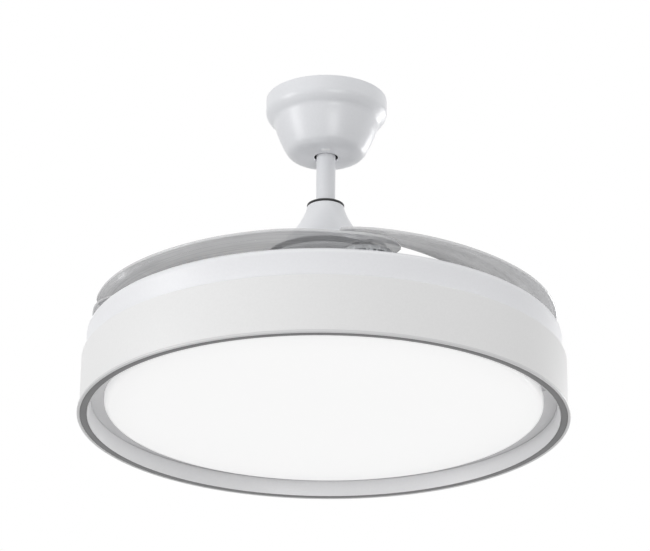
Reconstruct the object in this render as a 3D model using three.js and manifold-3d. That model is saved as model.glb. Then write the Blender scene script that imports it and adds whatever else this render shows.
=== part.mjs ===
// Ceiling fan with four blades that fold away on top of a round lamp.
// Millimetres, +Z up. The origin is the centre of the face that is screwed to the ceiling.
import * as THREE from 'three';
import { mergeVertices } from 'three/addons/utils/BufferGeometryUtils.js';
import Module from 'manifold-3d';

const wasm = await Module();
wasm.setup();

// ---------------------------------------------------------------- driving dimensions
const SEAT_GAP = 0.3;            // between two pieces that rest on each other
const RUN_GAP = 0.6;             // between two pieces that turn past each other
const SHEET = 1.2;               // wall of the spun steel covers
const PAST = 1;                  // how far a cutter reaches past a face
const DEG = Math.PI / 180;

// hanger, in the canopy
const CANOPY_HEIGHT = 66;
const CANOPY_FLANGE_RADIUS = 63.7;
const CANOPY_FLANGE_HEIGHT = 13;
const CANOPY_FLANGE_STEP = 8.7;  // the body is narrower than the flange by this
const CANOPY_SHOULDER_DROP = 27;
const CANOPY_TAPER = 14.2;       // radius lost down the body
const CANOPY_TAPER_POWER = 1.25; // how late the body draws in
const CANOPY_BASE_STEP = 10.8;   // radius lost round the base
const CANOPY_BASE_ROUND = 5;
const CANOPY_EDGE_SHARES = [[0, 0], [0.15, 0.6], [0.55, 1.26]]; // below the flange, in flange steps
const CANOPY_BASE_SHARES = [0.33, 0.3]; // middle of the base's rounding, in steps and rounds
const CANOPY_STEPS = 3;
const CANOPY_WALL = 1.5;
const CANOPY_HOLE_CLEARANCE = 2.5;
const CANOPY_SCREW_AZIMUTHS = [30, 150];
const CANOPY_SCREW_RADIUS = 2;
const BRACKET_PLATE = 3;
const BRACKET_SEAT_HEIGHT = 6;
const BRACKET_SEAT_WALL = 8;
const BRACKET_ARM_WIDTH = 20;
const BRACKET_ARM_GAP = 1;
const BRACKET_EAR_WIDTH = 10;
const BRACKET_EAR_THICKNESS = 4;
const BALL_RADIUS = 22;
const BALL_FLAT = 18;            // from the ball's centre to its flats
const BALL_DEPTH = 38;           // ball centre below the ceiling
const BALL_SEAT_DROP = 11;       // seat below the ball's centre
const BALL_BORE_CLEARANCE = 1.6; // lets the rod rock on its pin
const BALL_PIN_RADIUS = 2.5;
const BALL_PIN_INSET = 4;
const SCREW_HEAD_RADIUS = 4;
const SCREW_HEAD_HEIGHT = 2;
const WINDOW_WIDTH = 9;
const WINDOW_PROUD = 0.4;
const RECEIVER_ROD_GAP = 1.5;    // from the canopy's hole to the receiver
const RECEIVER_EDGE_GAP = 4;     // from the receiver to the edge of the canopy's base
const RECEIVER_CORNER_GAP = 1;   // from its corners to that edge
const RECEIVER_HEIGHT = 5;

// downrod and motor cover
const ROD_RADIUS = 10;
const ROD_WALL = 1.5;
const ROD_EXPOSED = 54.5;
const ROD_TOP_STAND = 9;         // rod above the ball's centre
const ROD_INSERT = 22;           // rod inside the yoke
const DUST_RING_RADIUS = 19.5;
const DUST_RING_HEIGHT = 2.2;
const COVER_TOP_RADIUS = 19.4;
const COVER_FLARE_RADIUS = 35.6;
const COVER_BOTTOM_RADIUS = 62;
const COVER_SLIM = 33;           // height of the slim part of the trumpet
const COVER_SLIM_POWER = 1.45;
const COVER_ROLL_SHARE = 0.25;   // share of the flare that comes only near the bottom edge
const COVER_HEIGHT = 58;
const COVER_ROWS = 7;
const YOKE_WALL = 5;
const YOKE_HEIGHT = 36;
const YOKE_PIN_RADIUS = 3;
const YOKE_PIN_STAND = 2;

// motor
const MOTOR_GAP = 4.7;           // air between the cover's edge and the motor
const MOTOR_HEIGHT = 77.5;
const MOTOR_RADIUS = 64;
const MOTOR_WALL = 2.5;
const MOTOR_ROUND = 8;
const MOTOR_SPLIT = 28;          // height of the upper half
const SHAFT_RADIUS = 9;
const SHAFT_WALL = 3;
const SHAFT_COLLAR_RADIUS = 14;
const SHAFT_COLLAR_HEIGHT = 1.7;
const BEARING_RADIUS = 13;
const BEARING_HEIGHT = 7;
const MAGNET_THICKNESS = 6;
const MAGNET_HEIGHT = 36;
const STATOR_AIR_GAP = 1;
const STATOR_HEIGHT = 30;
const STATOR_POLES = 9;
const STATOR_HUB_RADIUS = 20;
const STATOR_NECK = 8;
const STATOR_SHOE_DEPTH = 5;
const STATOR_SHOE_SHARE = 0.84;  // of the pitch between poles
const WINDING_END = 5;
const WINDING_OUTER_GAP = 8;
const WINDING_INNER_GAP = 2;

// blade carrier
const CARRIER_THICKNESS = 2;
const CARRIER_EDGE = 8;          // plate outside the circle of the pivots
const CARRIER_BORE_RADIUS = 22;
const PIVOT_INSET = 46;          // from the blades' outer edge to their pivots
const PIVOT_AZIMUTH = 12;        // of the first blade's pivot, in degrees
const BLADES = 4;
const PIN_RADIUS = 4;
const PIN_CLEARANCE = 0.5;
const GEAR_TEETH = 16;
const SYNC_TEETH = 112;
const GEAR_THICKNESS = 3.5;
const SYNC_THICKNESS = 3;
const SYNC_WALL = 12;
const SYNC_SECTOR_ANGLE = 15;    // half of each toothed stretch
const SYNC_RIM_STEPS = 6;
const TOOTH_TIP = 0.6;           // in modules, as is the root
const TOOTH_ROOT = 0.85;
const TOOTH_TIP_SHARE = 0.13;    // half widths, in shares of the pitch
const TOOTH_ROOT_SHARE = 0.28;
const ARM_RADIUS = 27;
const ARM_THICKNESS = 4;
const CAP_RADIUS = 9;
const CAP_HEIGHT = 2.5;
const CAP_BEVEL = 1;
const SPRING_RADIUS = 14;
const SPRING_BORE = 9;
const SPRING_HEIGHT = 2.8;

// blades: heights are above the carrier's top face, azimuths run from the pivot to the tip
const BLADE_THICKNESS = 2.2;
const BLADE_INSET = 5.5;          // their outer edge inside the drum's shoulder
const BLADE_WIDTH = 80;
const BLADE_TIP_WIDTH = 32;
const BLADE_TIP_TUCK = 2;        // the tip's outer edge lies inside the root's by this
const BLADE_TUCK_POWER = 3;
const BLADE_TAPER_POWER = 0.9;
const BLADE_SPAN_ANGLE = 98.5;
const BLADE_ROOT_ANGLE = 9;      // the sheet starts this far behind its pivot
const BLADE_ROOT_ROUND_ANGLE = 12;
const BLADE_TIP_ROUND_ANGLE = 10;
const BLADE_END_SHARE = 0.06;    // least width of the rounded ends
const BLADE_OPEN_ANGLE = 134;
const BLADE_OUTER_ROOT_RISE = 10;
const BLADE_OUTER_MID_RISE = 14;
const BLADE_OUTER_TIP_RISE = 17;
const BLADE_INNER_ROOT_RISE = 14;
const BLADE_INNER_MID_RISE = 18;
const BLADE_INNER_TIP_RISE = 22;
const BLADE_OUTER_ROOT_ANGLES = [0, 25]; // azimuths over which each rise changes
const BLADE_OUTER_TIP_ANGLES = [48, BLADE_SPAN_ANGLE];
const BLADE_INNER_ROOT_ANGLES = [-5, 28];
const BLADE_INNER_TIP_ANGLES = [55, BLADE_SPAN_ANGLE];
const BLADE_BOSS_RADIUS = 20;
const BLADE_BOSS_HEIGHT = 8;
const BLADE_STEPS = 14;
const BLADE_STRIPS = 4;
const BLADE_STEP_CROWDING = 0.35; // how far the steps gather towards both ends
const BLADE_SCREW_RADIUS = 1.6;
const BLADE_SCREW_HEAD_RADIUS = 3;
const BLADE_SCREW_OFFSET = 17;

// lamp: its radii follow from the bottom rim's
const DRUM_GAP = 3.5;            // air between the carrier and the drum's top
const DRUM_BULGE = 4;            // shoulder outside the neck
const DRUM_ROUND = 5;
const DRUM_EXPOSED = 31;
const DRUM_SKIRT = 38;           // drum wall hidden in the shade
const SHADE_STEP = 7.9;          // the shade stands out from the drum's neck by this
const SHADE_HEIGHT = 57;
const SHADE_WALL = 1.5;
const SHADE_ROUND = 1.2;
const RIM_RADIUS = 250;
const RIM_OVERHANG = 2.6;        // outside the shade
const RIM_BEVEL = 0.75;
const RIM_HEIGHT = 3;
const RIM_LIP = 3;
const INLAY_WIDTH = 6.5;
const INLAY_DEPTH = 1.2;
const BEZEL_HEIGHT = 16.7;
const BEZEL_TAPER = 3.5;
const BEZEL_FOOT = 0.8;          // wall of the bezel at its lower edge
const LENS_RING_WIDTH = 13;      // of the shelf that shows inside the bezel
const LENS_RING_THICKNESS = 1.6;
const DIFFUSER_EDGE_RISE = 11;   // its edge above the rim's bottom
const DIFFUSER_DOME = 6.5;
const DIFFUSER_ROUND = 3;
const DIFFUSER_SHARES = [0, 0.35, 0.65, 0.85]; // of its radius, where the dome has its rings
const DIFFUSER_WALL = 2.4;
const DIFFUSER_SIDE = 10.6;
const LUGS = 3;
const LUG_REACH = 4;
const LUG_HEIGHT = 2.4;
const LUG_HALF_ANGLE = 3;
const LUG_AZIMUTH = 90;
const LUG_SLOT_ANGLE = 14;       // twist from locked to the slot
const LED_BOARD_MARGIN = 34.5;   // inside the drum's neck
const LED_BOARD_BORE = 26;
const LED_BOARD_THICKNESS = 1.6;
const DRIVER_LENGTH = 90;
const DRIVER_WIDTH = 34;
const DRIVER_HEIGHT = 20;
const DRIVER_OFFSET = 60;
const WASHER_RADIUS = 20;
const WASHER_HEIGHT = 2.4;
const NUT_RADIUS = 15;
const NUT_HEIGHT = 8;

const RING_SEGMENTS = 48;
const COVER_SEGMENTS = 28;
const SHAFT_SEGMENTS = 20;
const BALL_SEGMENTS = 16;
const PIN_SEGMENTS = 12;
const MOTOR_SEGMENTS = 24;

// ---------------------------------------------------------------- radii that follow from others
const CANOPY_SHOULDER_RADIUS = CANOPY_FLANGE_RADIUS - CANOPY_FLANGE_STEP;
const CANOPY_WAIST_RADIUS = CANOPY_SHOULDER_RADIUS - CANOPY_TAPER;
const CANOPY_BASE_RADIUS = CANOPY_WAIST_RADIUS - CANOPY_BASE_STEP;
const CANOPY_HOLE = ROD_RADIUS + CANOPY_HOLE_CLEARANCE;
const RECEIVER_INNER = CANOPY_HOLE + RECEIVER_ROD_GAP;
const RECEIVER_OUTER = CANOPY_BASE_RADIUS - RECEIVER_EDGE_GAP;
const RECEIVER_DEPTH = RECEIVER_OUTER - RECEIVER_INNER;
const RECEIVER_HALF_WIDTH = Math.sqrt((CANOPY_BASE_RADIUS - RECEIVER_CORNER_GAP) ** 2 - RECEIVER_OUTER ** 2);
const WINDOW_DEPTH = RECEIVER_DEPTH / 2;
const WINDOW_RADIUS = (RECEIVER_INNER + RECEIVER_OUTER) / 2; // its distance from the rod's axis
const BRACKET_EDGE = CANOPY_FLANGE_RADIUS - CANOPY_WALL - SEAT_GAP;
const ROD_BORE = ROD_RADIUS + SEAT_GAP;
const YOKE_RADIUS = ROD_BORE + YOKE_WALL;
const SHAFT_BORE = SHAFT_RADIUS + SEAT_GAP;
const BEARING_SEAT = BEARING_RADIUS + SEAT_GAP;
const MOTOR_LIP_BORE = SHAFT_RADIUS + RUN_GAP;
const MAGNET_RADIUS = MOTOR_RADIUS - MOTOR_WALL - SEAT_GAP;
const STATOR_RADIUS = MAGNET_RADIUS - MAGNET_THICKNESS - STATOR_AIR_GAP;
const SHADE_RADIUS = RIM_RADIUS - RIM_OVERHANG;
const DRUM_NECK_RADIUS = SHADE_RADIUS - SHADE_STEP;
const DRUM_RADIUS = DRUM_NECK_RADIUS + DRUM_BULGE;
const LED_BOARD_RADIUS = DRUM_NECK_RADIUS - LED_BOARD_MARGIN;
const INLAY_RADIUS = RIM_RADIUS - RIM_LIP;
const RIM_BORE = INLAY_RADIUS - INLAY_WIDTH - SEAT_GAP;
const BEZEL_RADIUS = RIM_BORE - SEAT_GAP;
const BEZEL_TOP_RADIUS = BEZEL_RADIUS - BEZEL_TAPER;
const LENS_RING_BORE = BEZEL_TOP_RADIUS - LENS_RING_WIDTH;
const DIFFUSER_RADIUS = LENS_RING_BORE - RUN_GAP;
const BLADE_OUTER_RADIUS = DRUM_RADIUS - BLADE_INSET;
const BLADE_INNER_RADIUS = BLADE_OUTER_RADIUS - BLADE_WIDTH;
const BLADE_TIP_OUTER = BLADE_OUTER_RADIUS - BLADE_TIP_TUCK;
const BLADE_TIP_INNER = BLADE_TIP_OUTER - BLADE_TIP_WIDTH;
const PIVOT_RADIUS = BLADE_OUTER_RADIUS - PIVOT_INSET;
const CARRIER_RADIUS = PIVOT_RADIUS + CARRIER_EDGE;
const PIN_BORE = PIN_RADIUS + PIN_CLEARANCE;
const GEAR_MODULE = 2 * PIVOT_RADIUS / (GEAR_TEETH + SYNC_TEETH);
const GEAR_RADIUS = GEAR_MODULE * GEAR_TEETH / 2;
const SYNC_RADIUS = GEAR_MODULE * SYNC_TEETH / 2;

// ---------------------------------------------------------------- heights, from the ceiling down
const CANOPY_SCREW_Z = -BRACKET_PLATE - SCREW_HEAD_RADIUS;
const BALL_Z = -BALL_DEPTH;
const SEAT_TOP_Z = BALL_Z - BALL_SEAT_DROP;
const SEAT_BOTTOM_Z = SEAT_TOP_Z - BRACKET_SEAT_HEIGHT;
const CANOPY_BOTTOM_Z = -CANOPY_HEIGHT;
const DUST_RING_TOP_Z = CANOPY_BOTTOM_Z - ROD_EXPOSED;
const COVER_TOP_Z = DUST_RING_TOP_Z - DUST_RING_HEIGHT - SEAT_GAP;
const COVER_BOTTOM_Z = COVER_TOP_Z - COVER_HEIGHT;
const MOTOR_TOP_Z = COVER_BOTTOM_Z - MOTOR_GAP;
const MOTOR_SPLIT_Z = MOTOR_TOP_Z - MOTOR_SPLIT;
const MOTOR_BOTTOM_Z = MOTOR_TOP_Z - MOTOR_HEIGHT;
const MAGNET_TOP_Z = MOTOR_SPLIT_Z - SEAT_GAP;
const STATOR_TOP_Z = MAGNET_TOP_Z - (MAGNET_HEIGHT - STATOR_HEIGHT) / 2;
const STATOR_BOTTOM_Z = STATOR_TOP_Z - STATOR_HEIGHT;
const LOWER_BEARING_Z = MOTOR_BOTTOM_Z + MOTOR_WALL;
const UPPER_BEARING_Z = MOTOR_TOP_Z - MOTOR_WALL - BEARING_HEIGHT;
const CARRIER_TOP_Z = MOTOR_BOTTOM_Z - SEAT_GAP;
const CARRIER_BOTTOM_Z = CARRIER_TOP_Z - CARRIER_THICKNESS;
const DRUM_TOP_Z = CARRIER_BOTTOM_Z - DRUM_GAP;
const DRUM_CEILING_Z = DRUM_TOP_Z - SHEET;
const LAMP_SEAT_Z = DRUM_TOP_Z + SEAT_GAP;
const WASHER_TOP_Z = DRUM_CEILING_Z - SEAT_GAP;
const WASHER_BOTTOM_Z = WASHER_TOP_Z - WASHER_HEIGHT;
const NUT_TOP_Z = WASHER_BOTTOM_Z - SEAT_GAP;
const NUT_BOTTOM_Z = NUT_TOP_Z - NUT_HEIGHT;
const SHAFT_BOTTOM_Z = NUT_BOTTOM_Z - SHAFT_WALL;
const LED_TOP_Z = DRUM_CEILING_Z - SEAT_GAP;
const LED_BOTTOM_Z = LED_TOP_Z - LED_BOARD_THICKNESS;
const SHADE_TOP_Z = DRUM_TOP_Z - DRUM_EXPOSED;
const SHADE_BOTTOM_Z = SHADE_TOP_Z - SHADE_HEIGHT;
const RIM_TOP_Z = SHADE_BOTTOM_Z - SEAT_GAP;
const RIM_BOTTOM_Z = SHADE_BOTTOM_Z - RIM_HEIGHT;
const BEZEL_TOP_Z = RIM_BOTTOM_Z + BEZEL_HEIGHT;
const LENS_RING_Z = BEZEL_TOP_Z + SEAT_GAP;
const LENS_RING_TOP_Z = LENS_RING_Z + LENS_RING_THICKNESS;
const YOKE_BOTTOM_Z = MOTOR_TOP_Z + RUN_GAP;
const YOKE_TOP_Z = YOKE_BOTTOM_Z + YOKE_HEIGHT;
const YOKE_PIN_Z = YOKE_TOP_Z - ROD_INSERT / 2;
const ROD_BOTTOM_Z = YOKE_TOP_Z - ROD_INSERT;
const SHAFT_TOP_Z = ROD_BOTTOM_Z - SEAT_GAP;
const GEAR_BOTTOM_Z = CARRIER_TOP_Z + RUN_GAP;
const ARM_BOTTOM_Z = GEAR_BOTTOM_Z + GEAR_THICKNESS;
const ARM_TOP_Z = ARM_BOTTOM_Z + ARM_THICKNESS;
const BOSS_BOTTOM_Z = ARM_TOP_Z + SEAT_GAP;
const BOSS_TOP_Z = BOSS_BOTTOM_Z + BLADE_BOSS_HEIGHT;
const SPRING_TOP_Z = BOSS_BOTTOM_Z + SPRING_HEIGHT;

// ---------------------------------------------------------------- turns of the blades and their ring
// The ring turns backwards as the blades open, so its teeth are set ahead by half of that turn.
const SYNC_PITCH = 360 / SYNC_TEETH;
const SYNC_TURN = BLADE_OPEN_ANGLE * GEAR_TEETH / SYNC_TEETH;
const SYNC_SHIFT = Math.round(SYNC_TURN / 2 / SYNC_PITCH) * SYNC_PITCH;

// ---------------------------------------------------------------- materials
const paint = (color, roughness, metalness = 0) =>
  new THREE.MeshStandardMaterial({ color, roughness, metalness });
const whiteEnamel = () => paint(0xe9eaed, 0.35);
const drumEnamel = () => paint(0xe4e6ee, 0.35);
const shadeEnamel = () => paint(0xececec, 0.45);
const greyEnamel = () => paint(0xcfd0d2, 0.4);
const darkInlay = () => paint(0x6e6e70, 0.4, 0.6);
const blackEnamel = () => paint(0x1b1b1c, 0.5);
const blackRubber = () => paint(0x2c2c2c, 0.8);
const zincSteel = () => paint(0xa9adb0, 0.35, 0.9);
const copper = () => paint(0xb0703c, 0.4, 0.8);
const laminations = () => paint(0x6b6d70, 0.5, 0.8);
const magnet = () => paint(0x3a3a3d, 0.6, 0.3);
const opal = () => paint(0xfcfcfc, 0.5);
const circuitWhite = () => paint(0xf3f3ee, 0.6);
const moulded = () => paint(0xdadada, 0.55);
const blackPlastic = () => paint(0x30302f, 0.6);
const smokyBlade = () => {
  const material = paint(0x9b9c9e, 0.12);
  material.transparent = true;
  material.opacity = 0.55;
  return material;
};

// ---------------------------------------------------------------- solids
// A closed mesh with merged corners, turned to face outwards, as a manifold solid.
function solid(geometry) {
  const bare = geometry.index ? geometry.toNonIndexed() : geometry.clone();
  bare.deleteAttribute('normal');
  bare.deleteAttribute('uv');
  const merged = mergeVertices(bare, 1e-4);
  const at = merged.attributes.position;
  const kept = [];
  let volume = 0;
  for (let i = 0; i < merged.index.count; i += 3) {
    const [a, b, c] = [0, 1, 2].map((k) => merged.index.getX(i + k));
    if (a === b || b === c || c === a) continue;
    const [p, q, r] = [a, b, c].map((k) => new THREE.Vector3().fromBufferAttribute(at, k));
    volume += p.dot(q.cross(r));
    kept.push(a, b, c);
  }
  if (volume < 0) kept.reverse();
  return new wasm.Manifold(new wasm.Mesh({
    numProp: 3,
    vertProperties: new Float32Array(at.array),
    triVerts: new Uint32Array(kept),
  }));
}

function surface(body) {
  const mesh = body.getMesh();
  const geometry = new THREE.BufferGeometry();
  geometry.setAttribute('position', new THREE.BufferAttribute(new Float32Array(mesh.vertProperties), 3));
  geometry.setIndex(new THREE.BufferAttribute(new Uint32Array(mesh.triVerts), 1));
  geometry.computeVertexNormals();
  return geometry;
}

// Turns a list of [radius, height] corners about Z; a profile off the axis closes on itself.
function turned(profile, segments) {
  const points = profile.map(([radius, z]) => new THREE.Vector2(radius, z));
  const onAxis = profile[0][0] === 0 && profile[profile.length - 1][0] === 0;
  if (!onAxis) points.push(points[0].clone());
  return solid(new THREE.LatheGeometry(points, segments).rotateX(Math.PI / 2));
}

const ring = (bore, radius, low, high, segments = BALL_SEGMENTS) =>
  turned([[bore, low], [radius, low], [radius, high], [bore, high]], segments);

const disc = (radius, low, high, segments = BALL_SEGMENTS) =>
  turned([[0, low], [radius, low], [radius, high], [0, high]], segments);

const block = (width, depth, low, high) =>
  solid(new THREE.BoxGeometry(width, depth, high - low).translate(0, 0, (low + high) / 2));

// An outline in X and Y pulled up from one height to another.
function plate(outline, low, high) {
  const shape = new THREE.Shape(outline.map(([x, y]) => new THREE.Vector2(x, y)));
  const raised = new THREE.ExtrudeGeometry(shape, { depth: high - low, bevelEnabled: false });
  return solid(raised.translate(0, 0, low));
}

// Corners of a round stretch, from one angle to another, in steps.
function arc(centreRadius, centreZ, radius, from, to, steps) {
  return Array.from({ length: steps + 1 }, (_, i) => {
    const angle = (from + (to - from) * i / steps) * DEG;
    return [centreRadius + radius * Math.cos(angle), centreZ + radius * Math.sin(angle)];
  });
}

const polar = (radius, azimuth) =>
  [radius * Math.cos(azimuth * DEG), radius * Math.sin(azimuth * DEG)];

// A smooth step from 0 to 1.
function ease(from, to, value) {
  const x = Math.min(Math.max((value - from) / (to - from), 0), 1);
  return x * x * (3 - 2 * x);
}

// ---------------------------------------------------------------- ceiling side
// Outline of the canopy from the flange down to its base, set in by a wall.
function canopyOutline(inset) {
  const shoulderZ = -CANOPY_SHOULDER_DROP;
  const sideBottomZ = CANOPY_BOTTOM_Z + CANOPY_BASE_ROUND;
  const edge = CANOPY_EDGE_SHARES.map(([radius, drop]) => [
    CANOPY_FLANGE_RADIUS - inset - CANOPY_FLANGE_STEP * radius,
    -CANOPY_FLANGE_HEIGHT - CANOPY_FLANGE_STEP * drop,
  ]);
  const side = Array.from({ length: CANOPY_STEPS + 1 }, (_, i) => {
    const t = i / CANOPY_STEPS;
    const radius = CANOPY_SHOULDER_RADIUS - CANOPY_TAPER * t ** CANOPY_TAPER_POWER;
    return [radius - inset, shoulderZ + (sideBottomZ - shoulderZ) * t];
  });
  const [turnIn, turnUp] = CANOPY_BASE_SHARES;
  return [
    ...edge,
    ...side,
    [CANOPY_WAIST_RADIUS - CANOPY_BASE_STEP * turnIn - inset,
      CANOPY_BOTTOM_Z + CANOPY_BASE_ROUND * turnUp + inset],
    [CANOPY_BASE_RADIUS - inset, CANOPY_BOTTOM_Z + inset],
  ];
}

function canopy() {
  const outside = canopyOutline(0);
  const inside = canopyOutline(CANOPY_WALL).reverse();
  const shell = turned([
    [CANOPY_FLANGE_RADIUS, 0],
    ...outside,
    [CANOPY_HOLE, CANOPY_BOTTOM_Z],
    [CANOPY_HOLE, CANOPY_BOTTOM_Z + CANOPY_WALL],
    ...inside,
    [CANOPY_FLANGE_RADIUS - CANOPY_WALL, 0],
  ], COVER_SEGMENTS);
  const holes = CANOPY_SCREW_AZIMUTHS.map((azimuth) => radialRod(CANOPY_SCREW_RADIUS + SEAT_GAP,
    CANOPY_SHOULDER_RADIUS, CANOPY_FLANGE_RADIUS + PAST, CANOPY_SCREW_Z, azimuth));
  const windowHole = windowBlock(SEAT_GAP, CANOPY_BOTTOM_Z - PAST, CANOPY_BOTTOM_Z + CANOPY_WALL + PAST);
  return holes.reduce((body, hole) => body.subtract(hole), shell).subtract(windowHole);
}

// A round bar that points away from the Z axis.
function radialRod(radius, from, to, z, azimuth) {
  return disc(radius, from, to, PIN_SEGMENTS)
    .rotate([0, 90, 0]).rotate([0, 0, azimuth]).translate([0, 0, z]);
}

function canopyScrew(azimuth) {
  const outside = CANOPY_FLANGE_RADIUS + SEAT_GAP;
  const tip = BRACKET_EDGE - BRACKET_EAR_THICKNESS;
  const shank = radialRod(CANOPY_SCREW_RADIUS, tip, outside + SCREW_HEAD_HEIGHT / 2, CANOPY_SCREW_Z, azimuth);
  const head = radialRod(SCREW_HEAD_RADIUS, outside, outside + SCREW_HEAD_HEIGHT, CANOPY_SCREW_Z, azimuth);
  return shank.add(head);
}

// A plate under the ceiling with two ears for the canopy's screws, and two arms that carry the
// cupped seat of the ball.
function ceilingBracket() {
  const seatRadius = Math.sqrt(BALL_RADIUS ** 2 - BALL_SEAT_DROP ** 2) + BRACKET_SEAT_WALL;
  const cup = BALL_RADIUS + SEAT_GAP;
  const cupAngle = (z) => Math.asin((z - BALL_Z) / cup) / DEG;
  const hollow = arc(0, BALL_Z, cup, cupAngle(SEAT_TOP_Z), cupAngle(SEAT_BOTTOM_Z), 4);
  const seat = turned([
    ...hollow,
    [seatRadius, SEAT_BOTTOM_Z],
    [seatRadius, SEAT_TOP_Z],
  ], BALL_SEGMENTS);
  const top = disc(BRACKET_EDGE, -BRACKET_PLATE, 0, COVER_SEGMENTS);
  const armInner = BALL_RADIUS + BRACKET_ARM_GAP;
  const arm = (side) => block(seatRadius - armInner, BRACKET_ARM_WIDTH, SEAT_BOTTOM_Z, -BRACKET_PLATE / 2)
    .translate([side * (armInner + seatRadius) / 2, 0, 0]);
  const tab = (azimuth) => {
    const height = 2 * SCREW_HEAD_RADIUS + BRACKET_PLATE;
    const ear = block(BRACKET_EAR_THICKNESS, BRACKET_EAR_WIDTH, -height, -BRACKET_PLATE / 2)
      .translate([BRACKET_EDGE - BRACKET_EAR_THICKNESS, 0, 0]).rotate([0, 0, azimuth]);
    return ear.subtract(radialRod(CANOPY_SCREW_RADIUS + SEAT_GAP, 0, CANOPY_FLANGE_RADIUS,
      CANOPY_SCREW_Z, azimuth));
  };
  return CANOPY_SCREW_AZIMUTHS.reduce((body, azimuth) => body.add(tab(azimuth)),
    top.add(seat).add(arm(1)).add(arm(-1)));
}

// The ball is cut flat above and below, bored for the rod, and slotted from above for the pin.
function hangerBall() {
  const half = Math.asin(BALL_FLAT / BALL_RADIUS) / DEG;
  const bore = ROD_RADIUS + BALL_BORE_CLEARANCE;
  const skin = arc(0, BALL_Z, BALL_RADIUS, -half, half, 8);
  const ball = turned([[bore, BALL_Z - BALL_FLAT], ...skin, [bore, BALL_Z + BALL_FLAT]], BALL_SEGMENTS);
  const slotRadius = BALL_PIN_RADIUS + SEAT_GAP;
  const slot = block(2 * slotRadius, 4 * BALL_RADIUS, BALL_Z, BALL_Z + BALL_RADIUS)
    .add(crossRod(slotRadius, 2 * BALL_RADIUS, BALL_Z));
  return ball.subtract(slot);
}

// A round bar through the Z axis, along Y.
const crossRod = (radius, halfLength, z) =>
  disc(radius, -halfLength, halfLength, PIN_SEGMENTS).rotate([90, 0, 0]).translate([0, 0, z]);

function receiverBox() {
  const low = CANOPY_BOTTOM_Z + CANOPY_WALL + SEAT_GAP;
  return block(2 * RECEIVER_HALF_WIDTH, RECEIVER_DEPTH, low, low + RECEIVER_HEIGHT)
    .translate([0, -WINDOW_RADIUS, 0]);
}

function windowBlock(grow, low, high) {
  return block(WINDOW_WIDTH + 2 * grow, WINDOW_DEPTH + 2 * grow, low, high)
    .translate([0, -WINDOW_RADIUS, 0]);
}

const receiverWindow = () =>
  windowBlock(0, CANOPY_BOTTOM_Z - WINDOW_PROUD, CANOPY_BOTTOM_Z + CANOPY_WALL);

// ---------------------------------------------------------------- suspension
function downrod() {
  const top = BALL_Z + ROD_TOP_STAND;
  const tube = ring(ROD_RADIUS - ROD_WALL, ROD_RADIUS, ROD_BOTTOM_Z, top, SHAFT_SEGMENTS);
  return tube
    .subtract(crossRod(BALL_PIN_RADIUS + SEAT_GAP, 2 * ROD_RADIUS, BALL_Z))
    .subtract(crossRod(YOKE_PIN_RADIUS + SEAT_GAP, 2 * ROD_RADIUS, YOKE_PIN_Z).rotate([0, 0, 90]));
}

// The yoke takes the rod from above and the motor's fixed shaft from below.
function yoke() {
  const step = ROD_BOTTOM_Z;
  const body = turned([
    [SHAFT_BORE, YOKE_BOTTOM_Z],
    [YOKE_RADIUS, YOKE_BOTTOM_Z],
    [YOKE_RADIUS, YOKE_TOP_Z],
    [ROD_BORE, YOKE_TOP_Z],
    [ROD_BORE, step - SEAT_GAP / 2],
    [SHAFT_BORE, step - SEAT_GAP / 2],
  ], SHAFT_SEGMENTS);
  return body.subtract(crossRod(YOKE_PIN_RADIUS + SEAT_GAP, 2 * YOKE_RADIUS, YOKE_PIN_Z)
    .rotate([0, 0, 90]));
}

const yokePin = () =>
  crossRod(YOKE_PIN_RADIUS, YOKE_RADIUS + YOKE_PIN_STAND, YOKE_PIN_Z).rotate([0, 0, 90]);
const hangerPin = () => crossRod(BALL_PIN_RADIUS, BALL_RADIUS - BALL_PIN_INSET, BALL_Z);

const dustRing = () => turned([
  [ROD_BORE, COVER_TOP_Z + SEAT_GAP],
  [DUST_RING_RADIUS, COVER_TOP_Z + SEAT_GAP],
  [DUST_RING_RADIUS, DUST_RING_TOP_Z - DUST_RING_HEIGHT / 3],
  [DUST_RING_RADIUS - DUST_RING_HEIGHT / 3, DUST_RING_TOP_Z],
  [ROD_BORE, DUST_RING_TOP_Z],
], MOTOR_SEGMENTS);

// Radius of the trumpet at a drop below its top: a slim neck that widens faster and faster.
function coverRadius(drop) {
  const slim = (Math.min(drop, COVER_SLIM) / COVER_SLIM) ** COVER_SLIM_POWER;
  const rest = Math.max(drop - COVER_SLIM, 0) / (COVER_HEIGHT - COVER_SLIM);
  const flare = (1 - COVER_ROLL_SHARE) * rest + COVER_ROLL_SHARE * rest ** 3;
  return COVER_TOP_RADIUS + (COVER_FLARE_RADIUS - COVER_TOP_RADIUS) * slim
    + (COVER_BOTTOM_RADIUS - COVER_FLARE_RADIUS) * flare;
}

function motorCover() {
  const drops = Array.from({ length: COVER_ROWS + 1 }, (_, i) => COVER_HEIGHT * i / COVER_ROWS);
  const outside = drops.map((drop) => [coverRadius(drop), COVER_TOP_Z - drop]);
  const inside = drops.slice(1).reverse()
    .map((drop) => [coverRadius(drop) - SHEET, COVER_TOP_Z - drop]);
  return turned([
    [ROD_BORE, COVER_TOP_Z],
    ...outside,
    ...inside,
    [COVER_TOP_RADIUS - SHEET, COVER_TOP_Z - SHEET],
    [ROD_BORE, COVER_TOP_Z - SHEET],
  ], COVER_SEGMENTS);
}

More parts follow.
